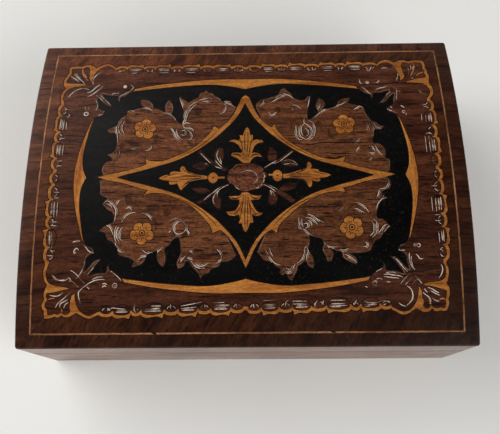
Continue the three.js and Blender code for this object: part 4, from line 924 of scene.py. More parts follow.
darkCentre = """
    -0.6,5.8 -0.8,9 -1.3,12.5 -2,15; 0,5.6 -0.1,10 -0.2,14 0,18.3; 0.5,5.6 0.7,9.5 1,13 0.9,17.2;
    0.9,5.8 1.4,9 2,12.4 2.4,15; -0.9,6.6 -2.2,7.9 -3.8,8.3 -4.9,8.1; 1.4,6.6 2.8,7.8 4.4,8 5.6,7.4;
    -0.8,12.6 -2.4,13.9 -4.2,14.2 -5.2,13.3; 1.4,12.4 3,13.8 4.6,14 5.6,13; -0.6,-6.6 -0.9,-10 -1.4,-13
    -1.9,-16; 0,-6.4 -0.1,-11 -0.2,-15 -0.1,-19; 0.5,-6.6 0.7,-10 0.8,-14 0.6,-18.4; 0.9,-7 1.3,-10
    1.8,-13 1.9,-16; -1.2,-7 -2.6,-7.9 -4,-8 -5.2,-7.5; 1.6,-7 2.8,-7.9 4,-8 5.2,-7.4; -1,-9 -2,-11.6
    -3.6,-13.4 -5.9,-13.1; 1.2,-9 2.2,-11.8 3.6,-13.5 5.4,-13.3; -14,-0.2 -18,0 -22,0 -25.6,-0.3;
    -15,0.4 -18.5,1 -20.6,2 -21.8,3.4; -15,-0.8 -18.5,-1.3 -20.4,-2.4 -21.7,-4.2; -23,1.2 -26,0.6
    -28.6,-0.3; -23,-1.6 -25,-1.8 -26.4,-1.3; 14,0 18,0.2 22,0.2 25.6,0.1; 15,0.6 18.5,1.3 20.6,2.3
    21.9,4.3; 15,-0.6 18.5,-0.8 20.6,-1.8 21.8,-3.4; 23,1.7 25.6,0.8 28.4,0.3; 23,-1.1 25,-1.3
    26.2,-0.6; -11.4,-0.5 -10.8,-0.5 /0.8; 10.8,0.1 11.4,0.1 /0.8; -3.3,2.3 -4.5,3.3; -4.5,0.4 -5.9,0.6;
    -4,-1.8 -5.2,-2.8; -1.7,-3.2 -2.2,-4.7; 0.9,-3.5 1.1,-5.2; 3.2,-2.9 4.4,-4; 4.7,-1.1 6.3,-1.3; 4.7,1
    6.2,1.5; 3.4,2.5 4.5,3.6; 0.8,2.9 1,4.5; -1.4,2.7 -1.9,4.4; 2,-0.1 3,-0.3 3.9,-0.3; -2.8,1.2 -3.3,0
    -3,-1.4 -2,-2.4; -1.6,0.8 -0.4,0.2 1,0.3; -1.2,-1 0.4,-1.5 2,-1.2; -1.4,7.7 -2.8,8.4 -4.2,8.5;
    2.2,7.8 3.4,8.3 4.7,8.1; -2,14 -3.2,13.9; 2.6,14 3.6,14; -1.9,-8.2 -3.4,-8.3 -4.8,-8; 2.2,-8.2
    3.6,-8.3 4.8,-7.6; -2.4,-13.6 -4,-13.8; 2.2,-13.6 3.8,-13.9; -19,1.3 -20.6,2.8; -19,-1.6 -20.6,-2.9;
    19,1.6 20.8,3; 19,-1.1 20.8,-2.4; -15,0.1 -20,0.5 -23,0.7; 15,0.3 20,0.8 23,0.8; 15,-0.2 20,-0.4
    23,-0.5; -15,-0.5 -20,-0.9 -23,-1
    """
stringingNicks = """
    -31,-52.3 -30.2,-52.5 -29.4,-52.7 /0.7; 27.6,-52.3 28.4,-52.5 29.4,-52.6 /0.5; 21,52.4 21.6,52.6
    /0.5; -71.4,3 -71.5,4.2 /0.5; 71.4,-22 71.5,-21 /0.5
    """
darkLeaves = {
    "back_left": "10,28.8 13,28.6 17,28.8; 13,21 16,21.2 20,21.4; 38,10.4 42,10.2",
    "back_right": """
    22,11.5 24,12 28,12.5 32,12.4 36,12.4 40,12.3 44.6,12.4 /0.5; 30,6.4 32,6.6 34.2,7.1; 42,36.7
    45.3,36.8 49.7,36.8 53.4,37.3 57,37.2 61,37 65,36.9 /0.55
    """,
    "front_left": "5.5,27.4 12,27.5 16,27.2; 5,23.3 9,23.2; 11,22.2 15,22; 28.5,23 34,23",
    "front_right": "18.5,11.5 23,11.3 30,11.4 33,11 /0.4; 53.6,22.3 56.5,22.4 58.8,22.4 63.4,22.3 /0.5",
}
# Places that hot sand has darkened, as closed outlines
scorched = {
    "back_left": """
    31.2,16.6 30.6,15.4 31,13.6 32,12.4 31.9,14 32.6,15.6; 41.6,13.6 39.6,13.8 37.4,13 36.8,11.8
    38.8,11.6 40.8,12.2; 44.4,12.4 43,13.4 42.4,12 43.4,10.8; 38.4,26.6 36,26.9 33.4,26.2 33.8,25.2
    36.4,25.6; 22.4,18.4 21,19 19.6,18 20.4,16.4 22,16.6; 20.6,14.2 18.4,12.6 16.6,11.4 17.4,10.8
    19.6,12; 17.6,27.4 15.4,26.8 15.8,25.2 17.6,24.6; 42.8,24.4 41.4,23.2 40.8,21 41.8,20.6 43,22.4
    """,
    "back_right": """
    22.6,17 21,17.6 20.4,16.2 21.2,14.8 22.6,15.2; 37.8,14.2 35.4,13.6 33,13.8 32,13 34.8,12.4 37.4,13;
    31.4,14 30,16 29.8,18.4 29,16.6 29.8,14.2; 44.6,14.6 43.4,14 43.4,12.6 44.6,12.8; 26,21.4 24.8,20
    25.6,18.6 27.2,20; 12,27.6 10.6,26 11.4,24.6 12.8,25.8; 29.8,7.4 27.6,7 26,5.8 28.4,6.2
    """,
    "front_left": """
    40.2,10 38.6,9.6 38.4,7.8 39.6,6.6 41,6.8 41,8.6; 33,12 30.6,12 29,11 30,10 32.4,10 33.6,10.6;
    43.6,14.6 42.6,12.8 43.4,11.6 44.4,13; 21.4,21.4 19.6,20.8 19.8,19.4 21.6,20; 31.4,15.2 30.4,17.4
    30.6,19.8 29.8,18 30.2,15.6; 17.6,26.8 15.6,26.4 13.4,27.2 14.8,25.6 17.2,25.4; 26.4,14 25.2,12.6
    26.8,11.6 27.8,13
    """,
    "front_right": """
    26.8,16.6 25.4,17.4 24,16.4 24.6,15 26.4,15; 33,10.6 31,11.6 29.2,11 30.4,9.6 32.6,9.4; 40.6,8.4
    38.4,8.6 36.6,7.8 38,6.8 40.2,7.2; 39.2,11.6 36.6,11.2 34.6,12.4 35.4,10.8 37.6,10.2; 42.2,24
    41,22.8 41.6,20.8 42.6,22; 20.4,14.4 18.8,13.4 19.4,11.8 20.8,12.8; 33.4,24.8 31.2,24.4 29.8,23
    31.8,23.2; 12,26.2 10.4,25.6 11.2,24 13,24.8
    """,
}
# Between the two edges of the diamond's band, from the notch under the barb
darkDiamond = "9.4,18.1 10.8,16.3 12.8,14.2 15.2,12.1 18,10.2 21,8.6 24,7.2"


# The cells of one run of the border: (start, end, is it a bead, is it the one in the middle of an end).
def borderCells(quarter, side):
    ends, flat = scallops[quarter][side]["ends"], side in ("back", "front")
    for number, (start, end) in enumerate(zip(ends[:-1], ends[1:])):
        middle = number == 0 and not flat
        yield start, end, middle or (number % 2 == 0) == flat, middle


# Places given as (along the side, out from the middle), leant outwards by the run's own slope.
def besideBorder(quarter, side, rows):
    along, out = np.array(rows).T[:2]
    out = out + scallops[quarter][side]["lean"] * along
    return np.stack([along, out] if side in ("back", "front") else [out, along], 1)


# One run of the border from the middle of its side outwards, in its quarter. Beads are round, and
# reels flat with a horn at the end nearest the middle. Inset is how far inside the outer edge it is.
def scallopRun(quarter, side, inset):
    dip, bead, reel, horn = (scallops[quarter][side][key] - inset for key in ("dip", "bead", "reel", "horn"))
    neck = neckHalf if inset else 0.0
    rows = []
    for start, end, isBead, middleCell in borderCells(quarter, side):
        if middleCell:
            reach = middleBead - neck
            rows += [(0.05, bead, 0)]
            rows += [(share * reach, dip + height * (bead - dip), 0) for share, height in beadShape]
            rows += [(reach + 0.1, dip, 0)]
        elif isBead:
            middle, reach = (start + end) / 2, (end - start) / 2 - neck
            half = [(share * reach, dip + height * (bead - dip)) for share, height in beadShape]
            rows += [(start + neck, dip, 0)]
            rows += [(middle - along, out, 0) for along, out in half[::-1]] + [(middle, bead, 0)]
            rows += [(middle + along, out, 0) for along, out in half]
        elif inset:
            low, high = start + neck, end - neck
            rows += [(low, dip, 0), (low + 0.3, reel - 0.2, 0), (low + 0.9, reel, 0), (high - 0.8, reel, 0),
                     (high - 0.25, reel - 0.2, 0)]
        else:
            rows += [(start, dip, 0), (start + 0.35, dip + 0.5 * (reel - dip), 0), (start + 0.7, horn, 1),
                     (start + 1.9, reel, 0), (end - 0.9, reel, 0), (end - 0.3, reel - 0.3, 0),
                     (end - 0.1, dip + 0.3 * (reel - dip), 0)]
        if neck and not middleCell:
            rows += [(end - neck, dip, 0)]
    return besideBorder(quarter, side, rows), np.array(rows)[:, 2] > 0


# The whole border edge: in each quarter a run, the corner and the next side's run backwards.
def borderLoop(corners, inset):
    places, marks = [], []
    for quarter, first, last in (("back_right", "back", "right"), ("front_right", "right", "front"),
                                 ("front_left", "front", "left"), ("back_left", "left", "back")):
        corner, sharp = parsePoints(corners[quarter])
        if first in ("right", "left"):
            corner, sharp = corner[::-1], sharp[::-1]
        outwards, horns = scallopRun(quarter, first, inset)
        inwards, lastHorns = scallopRun(quarter, last, inset)
        places += [part * quarters[quarter] for part in (outwards, corner, inwards[::-1])]
        marks += [horns, sharp, lastHorns[::-1]]
    return smoothLine(np.vstack(places), np.concatenate(marks), True, 0.3)


# From the units of the outlines to millimetres on the lid, in the quarter with this sign.
def onLid(loop, sign=(1, 1)):
    return loop * toLid * np.array(sign)


def openLine(text):
    return smoothLine(*parsePoints(text), False)


def closedLine(text):
    return smoothLine(*parsePoints(text), True)


# A circle of 28 points.
def ringLoop(centre, radius):
    angle = np.linspace(0, 2 * np.pi, 28, endpoint=False)
    return np.stack([centre[0] + radius * np.cos(angle), centre[1] + radius * np.sin(angle)], 1)


# A rectangle with rounded corners, set in from the edge of the lid.
def roundedRectangle(inset, radius, step=2.5):
    half = boxHalf - inset
    r = max(radius - inset, 0.02)
    quarter = np.linspace(0, np.pi / 2, 9)
    corner = np.stack([half[0] - r + r * np.cos(quarter), half[1] - r + r * np.sin(quarter)], 1)
    side = np.linspace(-half[1] + r, half[1] - r, int(2 * half[1] / step))[1:-1]
    top = np.linspace(half[0] - r, -half[0] + r, int(2 * half[0] / step))[1:-1]
    right = np.stack([np.full(len(side), half[0]), side], 1)
    back = np.stack([top, np.full(len(top), half[1])], 1)
    otherCorner = (corner * [-1, 1])[::-1]
    return np.vstack([right, corner, back, otherCorner, -right, -corner, -back, -otherCorner])


# How far inside the lid's outline with rounded corners each point lies.
def distanceInside(points, radius):
    q = np.abs(points) - (boxHalf - radius)
    outside = np.hypot(np.maximum(q[:, 0], 0), np.maximum(q[:, 1], 0))
    return radius - outside - np.minimum(np.maximum(q[:, 0], q[:, 1]), 0)


# Height of the polished sheet: the arch, rounded over along the lid's edges.
def sheetHeight(points):
    r = lidSheet["edgeRound"]
    d = np.clip(distanceInside(points, lidSheet["cornerRadius"]), 0, r)
    return archHeight(points[:, 1]) - (r - np.sqrt(np.maximum(r ** 2 - (r - d) ** 2, 0)))


# How far in from the lid's edge the banding begins, the stringing begins and the field begins
bandLines = [np.zeros(2), boxHalf - fieldHalf - 0.65, boxHalf - fieldHalf]


# One side of a mitred strip as a four-sided outline: side 0 faces front, 1 right, 2 back, 3 left.
# Overrun makes it longer and wider outwards by a share of its width.
def stripLoop(side, outerInset, innerInset, overrun=0.0):
    inner = boxHalf - innerInset
    outer = boxHalf - outerInset + (innerInset - outerInset) * overrun
    (ox, oy), (ix, iy) = outer, inner
    front = np.array([[-ox, -oy], [ox, -oy], [ix, -iy], [-ix, -iy]])
    right = np.array([[ox, -oy], [ox, oy], [ix, iy], [ix, -iy]])
    loop = (front, right, -front, -right)[side]
    return divided(np.vstack([loop, loop[:1]]), 3)


# A polygon's sides, each divided into steps of at most about this length.
def divided(corners, step):
    return np.vstack([np.linspace(a, b, max(int(np.hypot(*(b - a)) / step), 1), endpoint=False)
                      for a, b in zip(corners, corners[1:])])


# The normals along a line, to the left of its direction.
def leftOf(line):
    along = np.gradient(line, axis=0)
    along = along / np.maximum(np.hypot(*along.T), 1e-9)[:, None]
    return np.stack([-along[:, 1], along[:, 0]], 1)


# A tapered line as a closed outline: half its width grows and shrinks as a root of a sine.
def strokeLoop(line, width):
    t = np.linspace(0.03, 0.97, len(line))
    half = leftOf(line) * (width / 2 * np.sin(np.pi * t) ** 0.45)[:, None]
    return np.vstack([line + half, (line - half)[::-1]])


# A place at this distance from a flower's eye, in the direction of its petal of this number.
def byPetal(quarter, number, distance, aside=0.0):
    angle = math.radians(flowerTurns[quarter] + flowerForm["petalTurn"] * number + aside)
    return np.array(flowerEyes[quarter]) + distance * np.array([math.cos(angle), math.sin(angle)])


# A flower is five overlapping circles round a sixth.
def flowerLoops(quarter, sign):
    loops = [onLid(ringLoop(flowerEyes[quarter], flowerForm["petalReach"]), sign)]
    for number, size in enumerate(petalSizes):
        place = byPetal(quarter, number, flowerForm["petalReach"])
        loops.append(onLid(ringLoop(place, flowerForm["petalRadius"] * size), sign))
    return loops


# Lines of an engraving text, each as (kind, outline). The kinds count the materials of a sheet piece:
# 0 is its wood, 1 white mastic, 2 a dark line, 3 its wood scorched, 4 boxwood and 5 a worn edge.
def engraved(text, sign, kind, usual):
    loops = []
    for line in text.split(";"):
        places, _, width = line.partition("/")
        loops.append((kind, strokeLoop(onLid(openLine(places), sign), float(width or usual))))
    return loops


# A line moved sideways and shortened at both ends by a share of its length.
def besideLine(curve, kind, aside, width, trim):
    cut = int(len(curve) * trim)
    line = (curve + aside * leftOf(curve))[cut:len(curve) - cut]
    return [(kind, strokeLoop(line, width))] if len(line) > 3 else []


# White carving. On the leaves a thin dark line and a finer white one run beside each line of the text.
def carved(text, sign, shaded, share=1.0):
    k, loops = engraving, []
    for line in text.split(";"):
        places, _, given = line.partition("/")
        curve = onLid(openLine(places), sign)
        if shaded:
            loops += besideLine(curve, 2, k["shadowAside"], k["shadowWidth"], k["shadowTrim"])
            loops += besideLine(curve, 1, k["hatchAside"], k["hatchWidth"], k["hatchTrim"])
        width = min(float(given) * k["whiteShare"], k["widest"]) if given else k["white"]
        loops.append((1, strokeLoop(curve, width * share)))
    return loops


# Stamens: three dark dashes on each petal, and a line between each two petals.
def petalLines(quarter, sign):
    loops = []
    for number in range(flowerForm["petals"]):
        for aside, inner, outer in petalDashes:
            ends = [byPetal(quarter, number, distance, aside) for distance in (inner, outer)]
            loops.append((2, strokeLoop(onLid(np.linspace(*ends, 7), sign), engraving["dark"])))
    return loops


# A pale line just inside an outline: the band between two shrunken copies of it.
def rimLine(loop, fromEdge, width):
    return [(5, grown(loop, -fromEdge)), (0, grown(loop, -fromEdge - width))]


# An arc beside a bead has a kind, an inset, its ends in degrees and a width, and a bright line beside a
# reel has a depth, a width and how much shorter it is
beadArcs = ((2, 0.3, 170, 370, 0.32), (1, 0.75, 200, 250, 0.2), (1, 0.75, 290, 340, 0.2))
reelLines = ((0.75, 0.3, 0.7), (1.35, 0.18, 1.1))


# Engraving beside the border's cells: the inner part of a ring under a bead, and under a reel a
# rounded frame with two bright lines in it.
def cellMarks(quarter, side):
    form, loops = scallops[quarter][side], []

    def mark(kind, rows, width):
        curve = onLid(besideBorder(quarter, side, rows), quarters[quarter])
        loops.append((kind, strokeLoop(curve, width)))

    for start, end, isBead, middleCell in borderCells(quarter, side):
        if middleCell:
            start, end = -middleBead, middleBead
        if isBead:
            inner = form["bead"] - borderWidth
            for kind, inset, first, last, width in beadArcs:
                angle, radius = np.radians(np.linspace(first, last, 14)), (end - start) / 2 - inset
                mark(kind, np.stack([(start + end) / 2 + radius * np.cos(angle),
                                     inner - 0.5 + radius * np.sin(angle)], 1), width)
            continue
        inner = form["reel"] - borderWidth
        low, high = start + 0.5, end - 0.5
        frame = np.array([[low, inner - 0.1], [low, inner - 1.8], [low + 0.6, inner - 2.5],
                          [high - 0.6, inner - 2.5], [high, inner - 1.8], [high, inner - 0.1]])
        mark(2, smoothLine(frame, np.zeros(6, bool), False), 0.3)
        for depth, width, cut in reelLines:
            mark(1, np.linspace([low + cut, inner - depth], [high - cut, inner - depth - 0.05], 9), width)
    return loops


# Every line of the engraving, in the order in which they are cut.
def allStrokes():
    k, loops = engraving, []
    for quarter, sign in quarters.items():
        spandrel = onLid(closedLine(spandrels[quarter] + underDiamond), sign)
        loops += rimLine(spandrel, k["rimInset"], k["rimWidth"])
        for side in scallops[quarter]:
            loops += cellMarks(quarter, side)
        loops += engraved(fanRibs[quarter], sign, 4, k["white"])
        loops += [(3, onLid(closedLine(shape), sign)) for shape in scorched[quarter].split(";")]
        for texts, share in ((whiteLeaves, 1.0), (whiteHeads, 1.0), (whiteBeads, 0.9), (whiteSideBeads, 0.7)):
            loops += carved(texts[quarter], sign, texts is whiteLeaves, share)
        jawAside = k["jawAside"] * sign[0] * sign[1]
        loops += besideLine(onLid(openLine(jaws), sign), 5, jawAside, k["jawWidth"], 0)
        loops += engraved(darkLeaves[quarter], sign, 2, k["dark"])
        loops += engraved(darkDiamond, sign, 2, k["dark"])
        rings = []
        for x, y, radius, inside in eyes[quarter]:
            rings.append((1, (x, y), radius * k["eyeShare"]))
            if inside:
                rings.append((0, (x, y), inside))
        for kind, radius in ((2, k["flowerRing"]), (0, k["flowerRing"] - 0.34), (2, k["flowerEye"] - 0.26)):
            rings.append((kind, flowerEyes[quarter], radius))
        loops += [(kind, onLid(ringLoop(centre, radius), sign)) for kind, centre, radius in rings]
        loops += petalLines(quarter, sign)
    loops += [(3, onLid(closedLine(text))) for text in rosette[1:]]
    loops += carved(whiteCentre, (1, 1), False)
    loops += engraved(darkCentre, (1, 1), 2, k["dark"])
    loops += engraved(stringingNicks, (1, 1), 2, k["dark"])
    return loops


# Every region of the sheet in the order it is painted: name, loops, gap to its neighbours.
def sheetRegions():
    kerf, regions = lidSheet["kerf"], []
    for side, name in enumerate(("front", "right", "back", "left")):
        regions.append((name + "_banding", [stripLoop(side, *bandLines[:2], 0.6)], glueLine))
        regions.append((name + "_stringing", [stripLoop(side, *bandLines[1:])], glueLine * 2))
    corners = fieldHalf * np.array([(-1, -1), (1, -1), (1, 1), (-1, 1), (-1, -1)])
    field = np.vstack([np.linspace(a, b, 40, endpoint=False) for a, b in zip(corners, corners[1:])])
    border = grown(onLid(borderLoop(cornerOuter, 0)), lidSheet["borderSpread"])
    regions.append(("outer_field", [field], glueLine * 2))
    regions.append(("scalloped_border", [border], lidSheet["borderKerf"]))
    for name, loop in (("walnut_frieze", borderLoop(cornerInner, borderWidth)),
                       ("crescent", wholeLoop(friezeInner)), ("black_ground", wholeLoop(groundOuter))):
        regions.append((name, [onLid(loop)], kerf))
    for quarter, sign in quarters.items():
        spandrel = closedLine(spandrels[quarter] + underDiamond)
        regions.append((quarter + "_spandrel", [onLid(spandrel, sign)], kerf))
    for quarter, sign in quarters.items():
        regions.append((quarter + "_flower", flowerLoops(quarter, sign), kerf))
    regions.append(("diamond_frame", [onLid(fourQuarters(diamondOuter, diamondTips))], kerf))
    regions.append(("inner_ground", [onLid(wholeLoop(diamondInner))], kerf))
    for name, texts in {"rosette": rosette, **{side + "_fleur": fleurs[side] for side in fleurs}}.items():
        regions.append((name, [onLid(closedLine(text)) for text in texts], kerf))
    return regions


# In the order of the turns in the loop over the regions below
crescentNames = ("back_crescent", "right_crescent", "front_crescent", "left_crescent")


# The whole sheet as one triangulation in plan, then a class for each triangle.
def triangulateSheet(regions, strokes):
    loops = [grown(loop, gap * side) for _, outlines, gap in regions
             for loop in outlines for side in (0.5, -0.5)]
    loops += [roundedRectangle(inset, lidSheet["cornerRadius"]) for inset in lidSheet["insets"]]
    loops += [loop for _, loop in strokes]
    edges, base = [], 0
    for loop in loops:
        index = np.arange(len(loop))
        edges.append(np.stack([base + index, base + np.roll(index, -1)], 1))
        base += len(loop)
    step = lidSheet["gridStep"]
    gx, gy = np.meshgrid(*(np.arange(-half + step, half - 1, step) for half in boxHalf))
    points = loops + [np.stack([gx.ravel(), gy.ravel()], 1)]
    result = delaunay_2d_cdt(np.vstack(points).tolist(), np.vstack(edges).tolist(), [], 0, 0.002, False)
    flat = np.array([tuple(v) for v in result[0]])
    triangles = np.array([tuple(f) for f in result[2]])
    a, b, c = (flat[triangles[:, i]] for i in range(3))
    turned = (b[:, 0] - a[:, 0]) * (c[:, 1] - a[:, 1]) - (b[:, 1] - a[:, 1]) * (c[:, 0] - a[:, 0])
    triangles = np.where((turned < 0)[:, None], triangles[:, ::-1], triangles)[np.abs(turned) > 1e-7]
    middle = flat[triangles].mean(1)
    kept = distanceInside(middle, lidSheet["cornerRadius"]) > 0
    return flat, triangles[kept], middle[kept]


# The region that each triangle's middle lies in, with -1 in the saw cuts, and the kind of line over it.
def classify(regions, strokes, middle):
    order = np.argsort(middle[:, 1])
    owner = np.full(len(middle), -1)
    for number, (name, outlines, gap) in enumerate(regions):
        for half, mark in ((gap / 2, -1), (-gap / 2, number)):
            for loop in outlines:
                owner[isInside(grown(loop, half), middle, order)] = mark
    inlay = np.zeros(len(middle), int)
    for kind, loop in strokes:
        inlay[isInside(loop, middle, order)] = kind
    return owner, inlay


# A sheet piece as a closed solid: the polished top, the same triangles turned over below it, and
# a wall along every edge that only one triangle has.
def sheetPiece(name, flat, triangles, materials, slot, nodes, inlay, lowered=0.0):
    used, index = np.unique(triangles, return_inverse=True)
    triangles = index.reshape(-1, 3)
    plan = flat[used]
    count = len(plan)
    top = np.column_stack([plan, sheetHeight(plan) - lowered])
    bottom = np.column_stack([plan, archHeight(plan[:, 1]) - veneer])
    edges = np.vstack([triangles[:, pair] for pair in ([0, 1], [1, 2], [2, 0])])
    key, reverse = edges[:, 0] * count + edges[:, 1], edges[:, 1] * count + edges[:, 0]
    rim = edges[~np.isin(key, reverse)]
    walls = np.column_stack([rim[:, 1], rim[:, 0], rim[:, 0] + count, rim[:, 1] + count])
    faces = triangles.tolist() + (triangles[:, ::-1] + count).tolist() + walls.tolist()
    marks = np.concatenate([inlay, np.zeros(len(triangles) + len(walls), int)])
    return addPiece(name, np.vstack([top, bottom]), faces, materials, "lid", slot, nodes, 35, marks)


strokes = allStrokes()
regions = sheetRegions()
flat, triangles, middle = triangulateSheet(regions, strokes)
owner, inlay = classify(regions, strokes, middle)
print("stage: sheet of", len(triangles), "triangles")

sheetLooks = {
    "banding": ("walnut", "banding", (0, 0, 0), 0.0),
    "stringing": ("stringing", "stringing", (0, 0, 0), 0.0),
    "outer_field": ("walnut", "walnut", (7, 3, 0), crossTurns["left"]),
    "scalloped_border": ("boxwood", "boxwood", (2, 9, 0), 0.0),
    "walnut_frieze": ("walnut_figure", "frieze", (5, 1, 4), 0.0),
    "crescent": ("boxwood", "boxwood", (8, 2, 6), 0.0),
    "black_ground": ("ebonised", "ebonised", (1, 1, 1), 0.0),
    "spandrel": ("walnut_figure", "figured", (3, 8, 2), 0.0),
    "flower": ("boxwood", "boxwood", (6, 5, 3), 0.0),
    "diamond_frame": ("boxwood", "boxwood", (4, 4, 9), 0.0),
    "inner_ground": ("ebonised", "ebonised", (9, 2, 5), 0.0),
    "rosette": ("walnut_figure", "rose", (2, 6, 1), 0.0),
    "fleur": ("boxwood", "boxwood", (1, 7, 7), 0.0),
}
ribWood = woodMaterial("rib_wood", "boxwood", (4, 1, 1))
# What is left of the colour of some pieces, and of scorched wood. On the spandrels and flowers of the front
# and right quarters this is painted shade, darker where less light falls; on the other pieces it is a duller
# tone of their own.
paintedShadeAndTone = {"front_right_spandrel": 0.84, "back_right_spandrel": 0.88, "front_left_spandrel": 0.96,
               "front_right_flower": 0.82, "front_left_flower": 0.86, "back_right_flower": 0.94,
               "back_fleur": 0.82, "front_fleur": 0.92, "diamond_frame": 0.9, "scalloped_border": 0.84}
scorchedShade = 0.45
carvedLooks, darkLooks = ("figured", "frieze", "rose"), ("boxwood", "stringing")
for number, (name, outlines, gap) in enumerate(regions):
    kind = next(key for key in sheetLooks if key in name)
    slot, look, offset, turn = sheetLooks[kind]
    side = name.split("_")[0]
    if kind == "banding":
        turn = crossTurns[side]
    if kind == "stringing" and side in ("left", "right"):
        turn = math.pi / 2
    crossed = crossTurns["front"] if kind == "outer_field" else None
    marks = inlay if look in carvedLooks else np.where(inlay == 2, 2, 0) * (look in darkLooks)
    if kind == "crescent":  # one loop, parted into the four that face the four sides
        places = middle / boxHalf
        direction = np.round(np.arctan2(*places.T) / (np.pi / 2)).astype(int) % 4
        for turnNumber, part in enumerate(crescentNames):
            mine = (owner == number) & (direction == turnNumber)
            wood = woodMaterial(part + "_wood", look, offset, turn + (math.pi / 2) * (turnNumber % 2))
            sheetPiece(part, flat, triangles[mine], [wood, mastic, darkLine], slot, [part], marks[mine])
        continue
    mine = owner == number
    offset = [v + number for v in offset]
    wood = woodMaterial(name + "_wood", look, offset, turn, crossed, paintedShadeAndTone.get(name, 1.0))
    materials = [wood, mastic, darkLine]
    if look in carvedLooks:
        scorchedWood = woodMaterial(name + "_scorched", look, offset, turn, None, scorchedShade)
        materials = [wood, mastic, charred, scorchedWood, ribWood, worn]
    sheetPiece(name, flat, triangles[mine], materials, slot, [name], marks[mine])
mine = owner == -1
sheetPiece("saw_cut_glue", flat, triangles[mine], [glue], "ebonised", [], inlay[mine] * 0,
           lidSheet["cutDepth"])
print("stage: marquetry")


# Walls and rails

bodyWood = {"round": 0.5, "cornerRadius": 0.9, "partingRound": 0.35, "bevelDegrees": 51, "clearance": 0.03}
# How far below the sheet the lid board's top, its underside and the rails lie, and the ledge's play
lidBoard = {"over": 0.05, "under": 3.5, "railGap": 0.02, "clearance": 0.18}
scoopFlat, scoopThick = 12, 1.5  # half the flat stretch of a scooped floor, and its thickness there
sideTurns = {"front": 0, "right": 1, "back": 2, "left": 3}
bevelSlope = math.tan(math.radians(bodyWood["bevelDegrees"]))


# Points of a quarter circle from one direction to another, as (depth, height) offsets.
def arcPoints(centre, radius, fromDegrees, toDegrees, count=5):
    angle = np.radians(np.linspace(fromDegrees, toDegrees, count))
    return np.stack([centre[0] + radius * np.cos(angle), centre[1] + radius * np.sin(angle)], 1)


# A mitred side: a closed profile of (depth, height, arch share) carried from one mitre to the
# other, turning the outer corner's quarter circle half way at each end. A point with an arch
# share is moved up by that share of the arch's rise at its own place.
def mitredSide(name, side, profile, materials, body, slot, stations=26):
    half = boxHalf if side in ("front", "back") else boxHalf[::-1]
    depth, height, share = profile.T
    gap = glueLine / 2
    radius = np.maximum(bodyWood["cornerRadius"] - depth, 0)
    straight = half[0] - gap - depth - radius
    turning = np.radians(np.linspace(45, 0, 6))[:, None]
    corner, cornerOut = straight + radius * np.sin(turning), depth - half[1] + radius * (1 - np.cos(turning))
    along = np.linspace(-1, 1, stations)[1:-1, None] * straight
    out = np.vstack([cornerOut, along * 0 + depth - half[1], cornerOut[::-1]])
    along = np.vstack([-corner, along, corner[::-1]])
    c, s = ((1, 0), (0, 1), (-1, 0), (0, -1))[sideTurns[side]]
    x, y = c * along - s * out, s * along + c * out
    z = np.broadcast_to(height, x.shape) + share * (archHeight(y) - edgeTop)
    points = np.stack([x, y, z], -1).reshape(-1, 3)
    return addPiece(name, points, tubeFaces(len(along), len(depth)), materials, body, slot, [name], 30)


# A solid to cut with, taken away again afterwards.
def helper(points, faces):
    mesh = bpy.data.meshes.new("helper")
    mesh.from_pydata((points * mm).tolist(), [], faces)
    made = bpy.data.objects.new("helper", mesh)
    bpy.context.scene.collection.objects.link(made)
    return made


# Cuts the helpers out of a piece, or joins them to it, and takes them away.
def cutWith(piece, cutters, operation="DIFFERENCE"):
    for cutter in cutters:
        modifier = piece.modifiers.new("cut", "BOOLEAN")
        modifier.operation = operation
        modifier.solver = "EXACT"
        modifier.object = cutter
    bpy.context.view_layer.update()
    evaluated = piece.evaluated_get(bpy.context.evaluated_depsgraph_get())
    cut = bpy.data.meshes.new_from_object(evaluated)
    piece.modifiers.clear()
    piece.data = cut
    cut.shade_smooth()
    cut.set_sharp_from_angle(angle=math.radians(30))
    for cutter in cutters:
        bpy.data.objects.remove(cutter)


pin = nodeBox("left_hinge_pin")
axis = (pin[0] + pin[1])[1:] / 2  # the hinge line's y and z
axisInset = boxHalf[1] - axis[0]


# The wall's section: rounded below and at the parting line, with the rebate for the bottom. The back
# one slopes away behind the hinge line instead.
def wallProfile(side):
    r, q = bodyWood["round"], bodyWood["partingRound"]
    low, high = nodeBox("bottom_board")
    rebate = boxHalf[1] - high[1] - bodyWood["clearance"]
    shelf = high[2] + bodyWood["clearance"]
    parting = arcPoints((q, bodyTop - q), q, 180, 90)
    if side == "back":
        drop = axis[1] - axisInset * bevelSlope
        parting = [[0, drop - 0.2], [0.1, drop + 0.05],
                   [axisInset - (axis[1] - bodyTop) / bevelSlope, bodyTop]]
    inner = [[wall - q, bodyTop], [wall - 0.1, bodyTop - 0.1], [wall, bodyTop - q], [wall, shelf],
             [rebate, shelf], [rebate, 0]]
    points = np.vstack([arcPoints((r, r), r, 270, 180), parting, inner])
    return np.column_stack([points, np.zeros(len(points))])[::-1]


# The rail's section: rounded at the parting line, up to the veneer, with the ledge for the board.
def railProfile(side):
    q = bodyWood["partingRound"]
    ledge = boxHalf[1] - nodeBox("lid_board")[1][1] - bodyWood["clearance"]
    lower = arcPoints((q, lidBottom + q), q, 270, 180)
    if side == "back":
        lift = axis[1] + axisInset * bevelSlope
        lower = [[axisInset - (lidBottom - axis[1]) / bevelSlope, lidBottom],
                 [0.1, lift - 0.05], [0, lift + 0.2]]
    top = edgeTop - veneer - lidBoard["railGap"]
    under = edgeTop - (veneer + lidBoard["under"] + lidBoard["clearance"])
    rows = [[d, z, 0] for d, z in lower] + [
        [0.04, top, 1], [ledge, top, 1], [ledge, under, 1], [wall, under, 1], [wall, lidBottom + q, 0],
        [wall - q, lidBottom, 0]]
    return np.array(rows)[::-1]


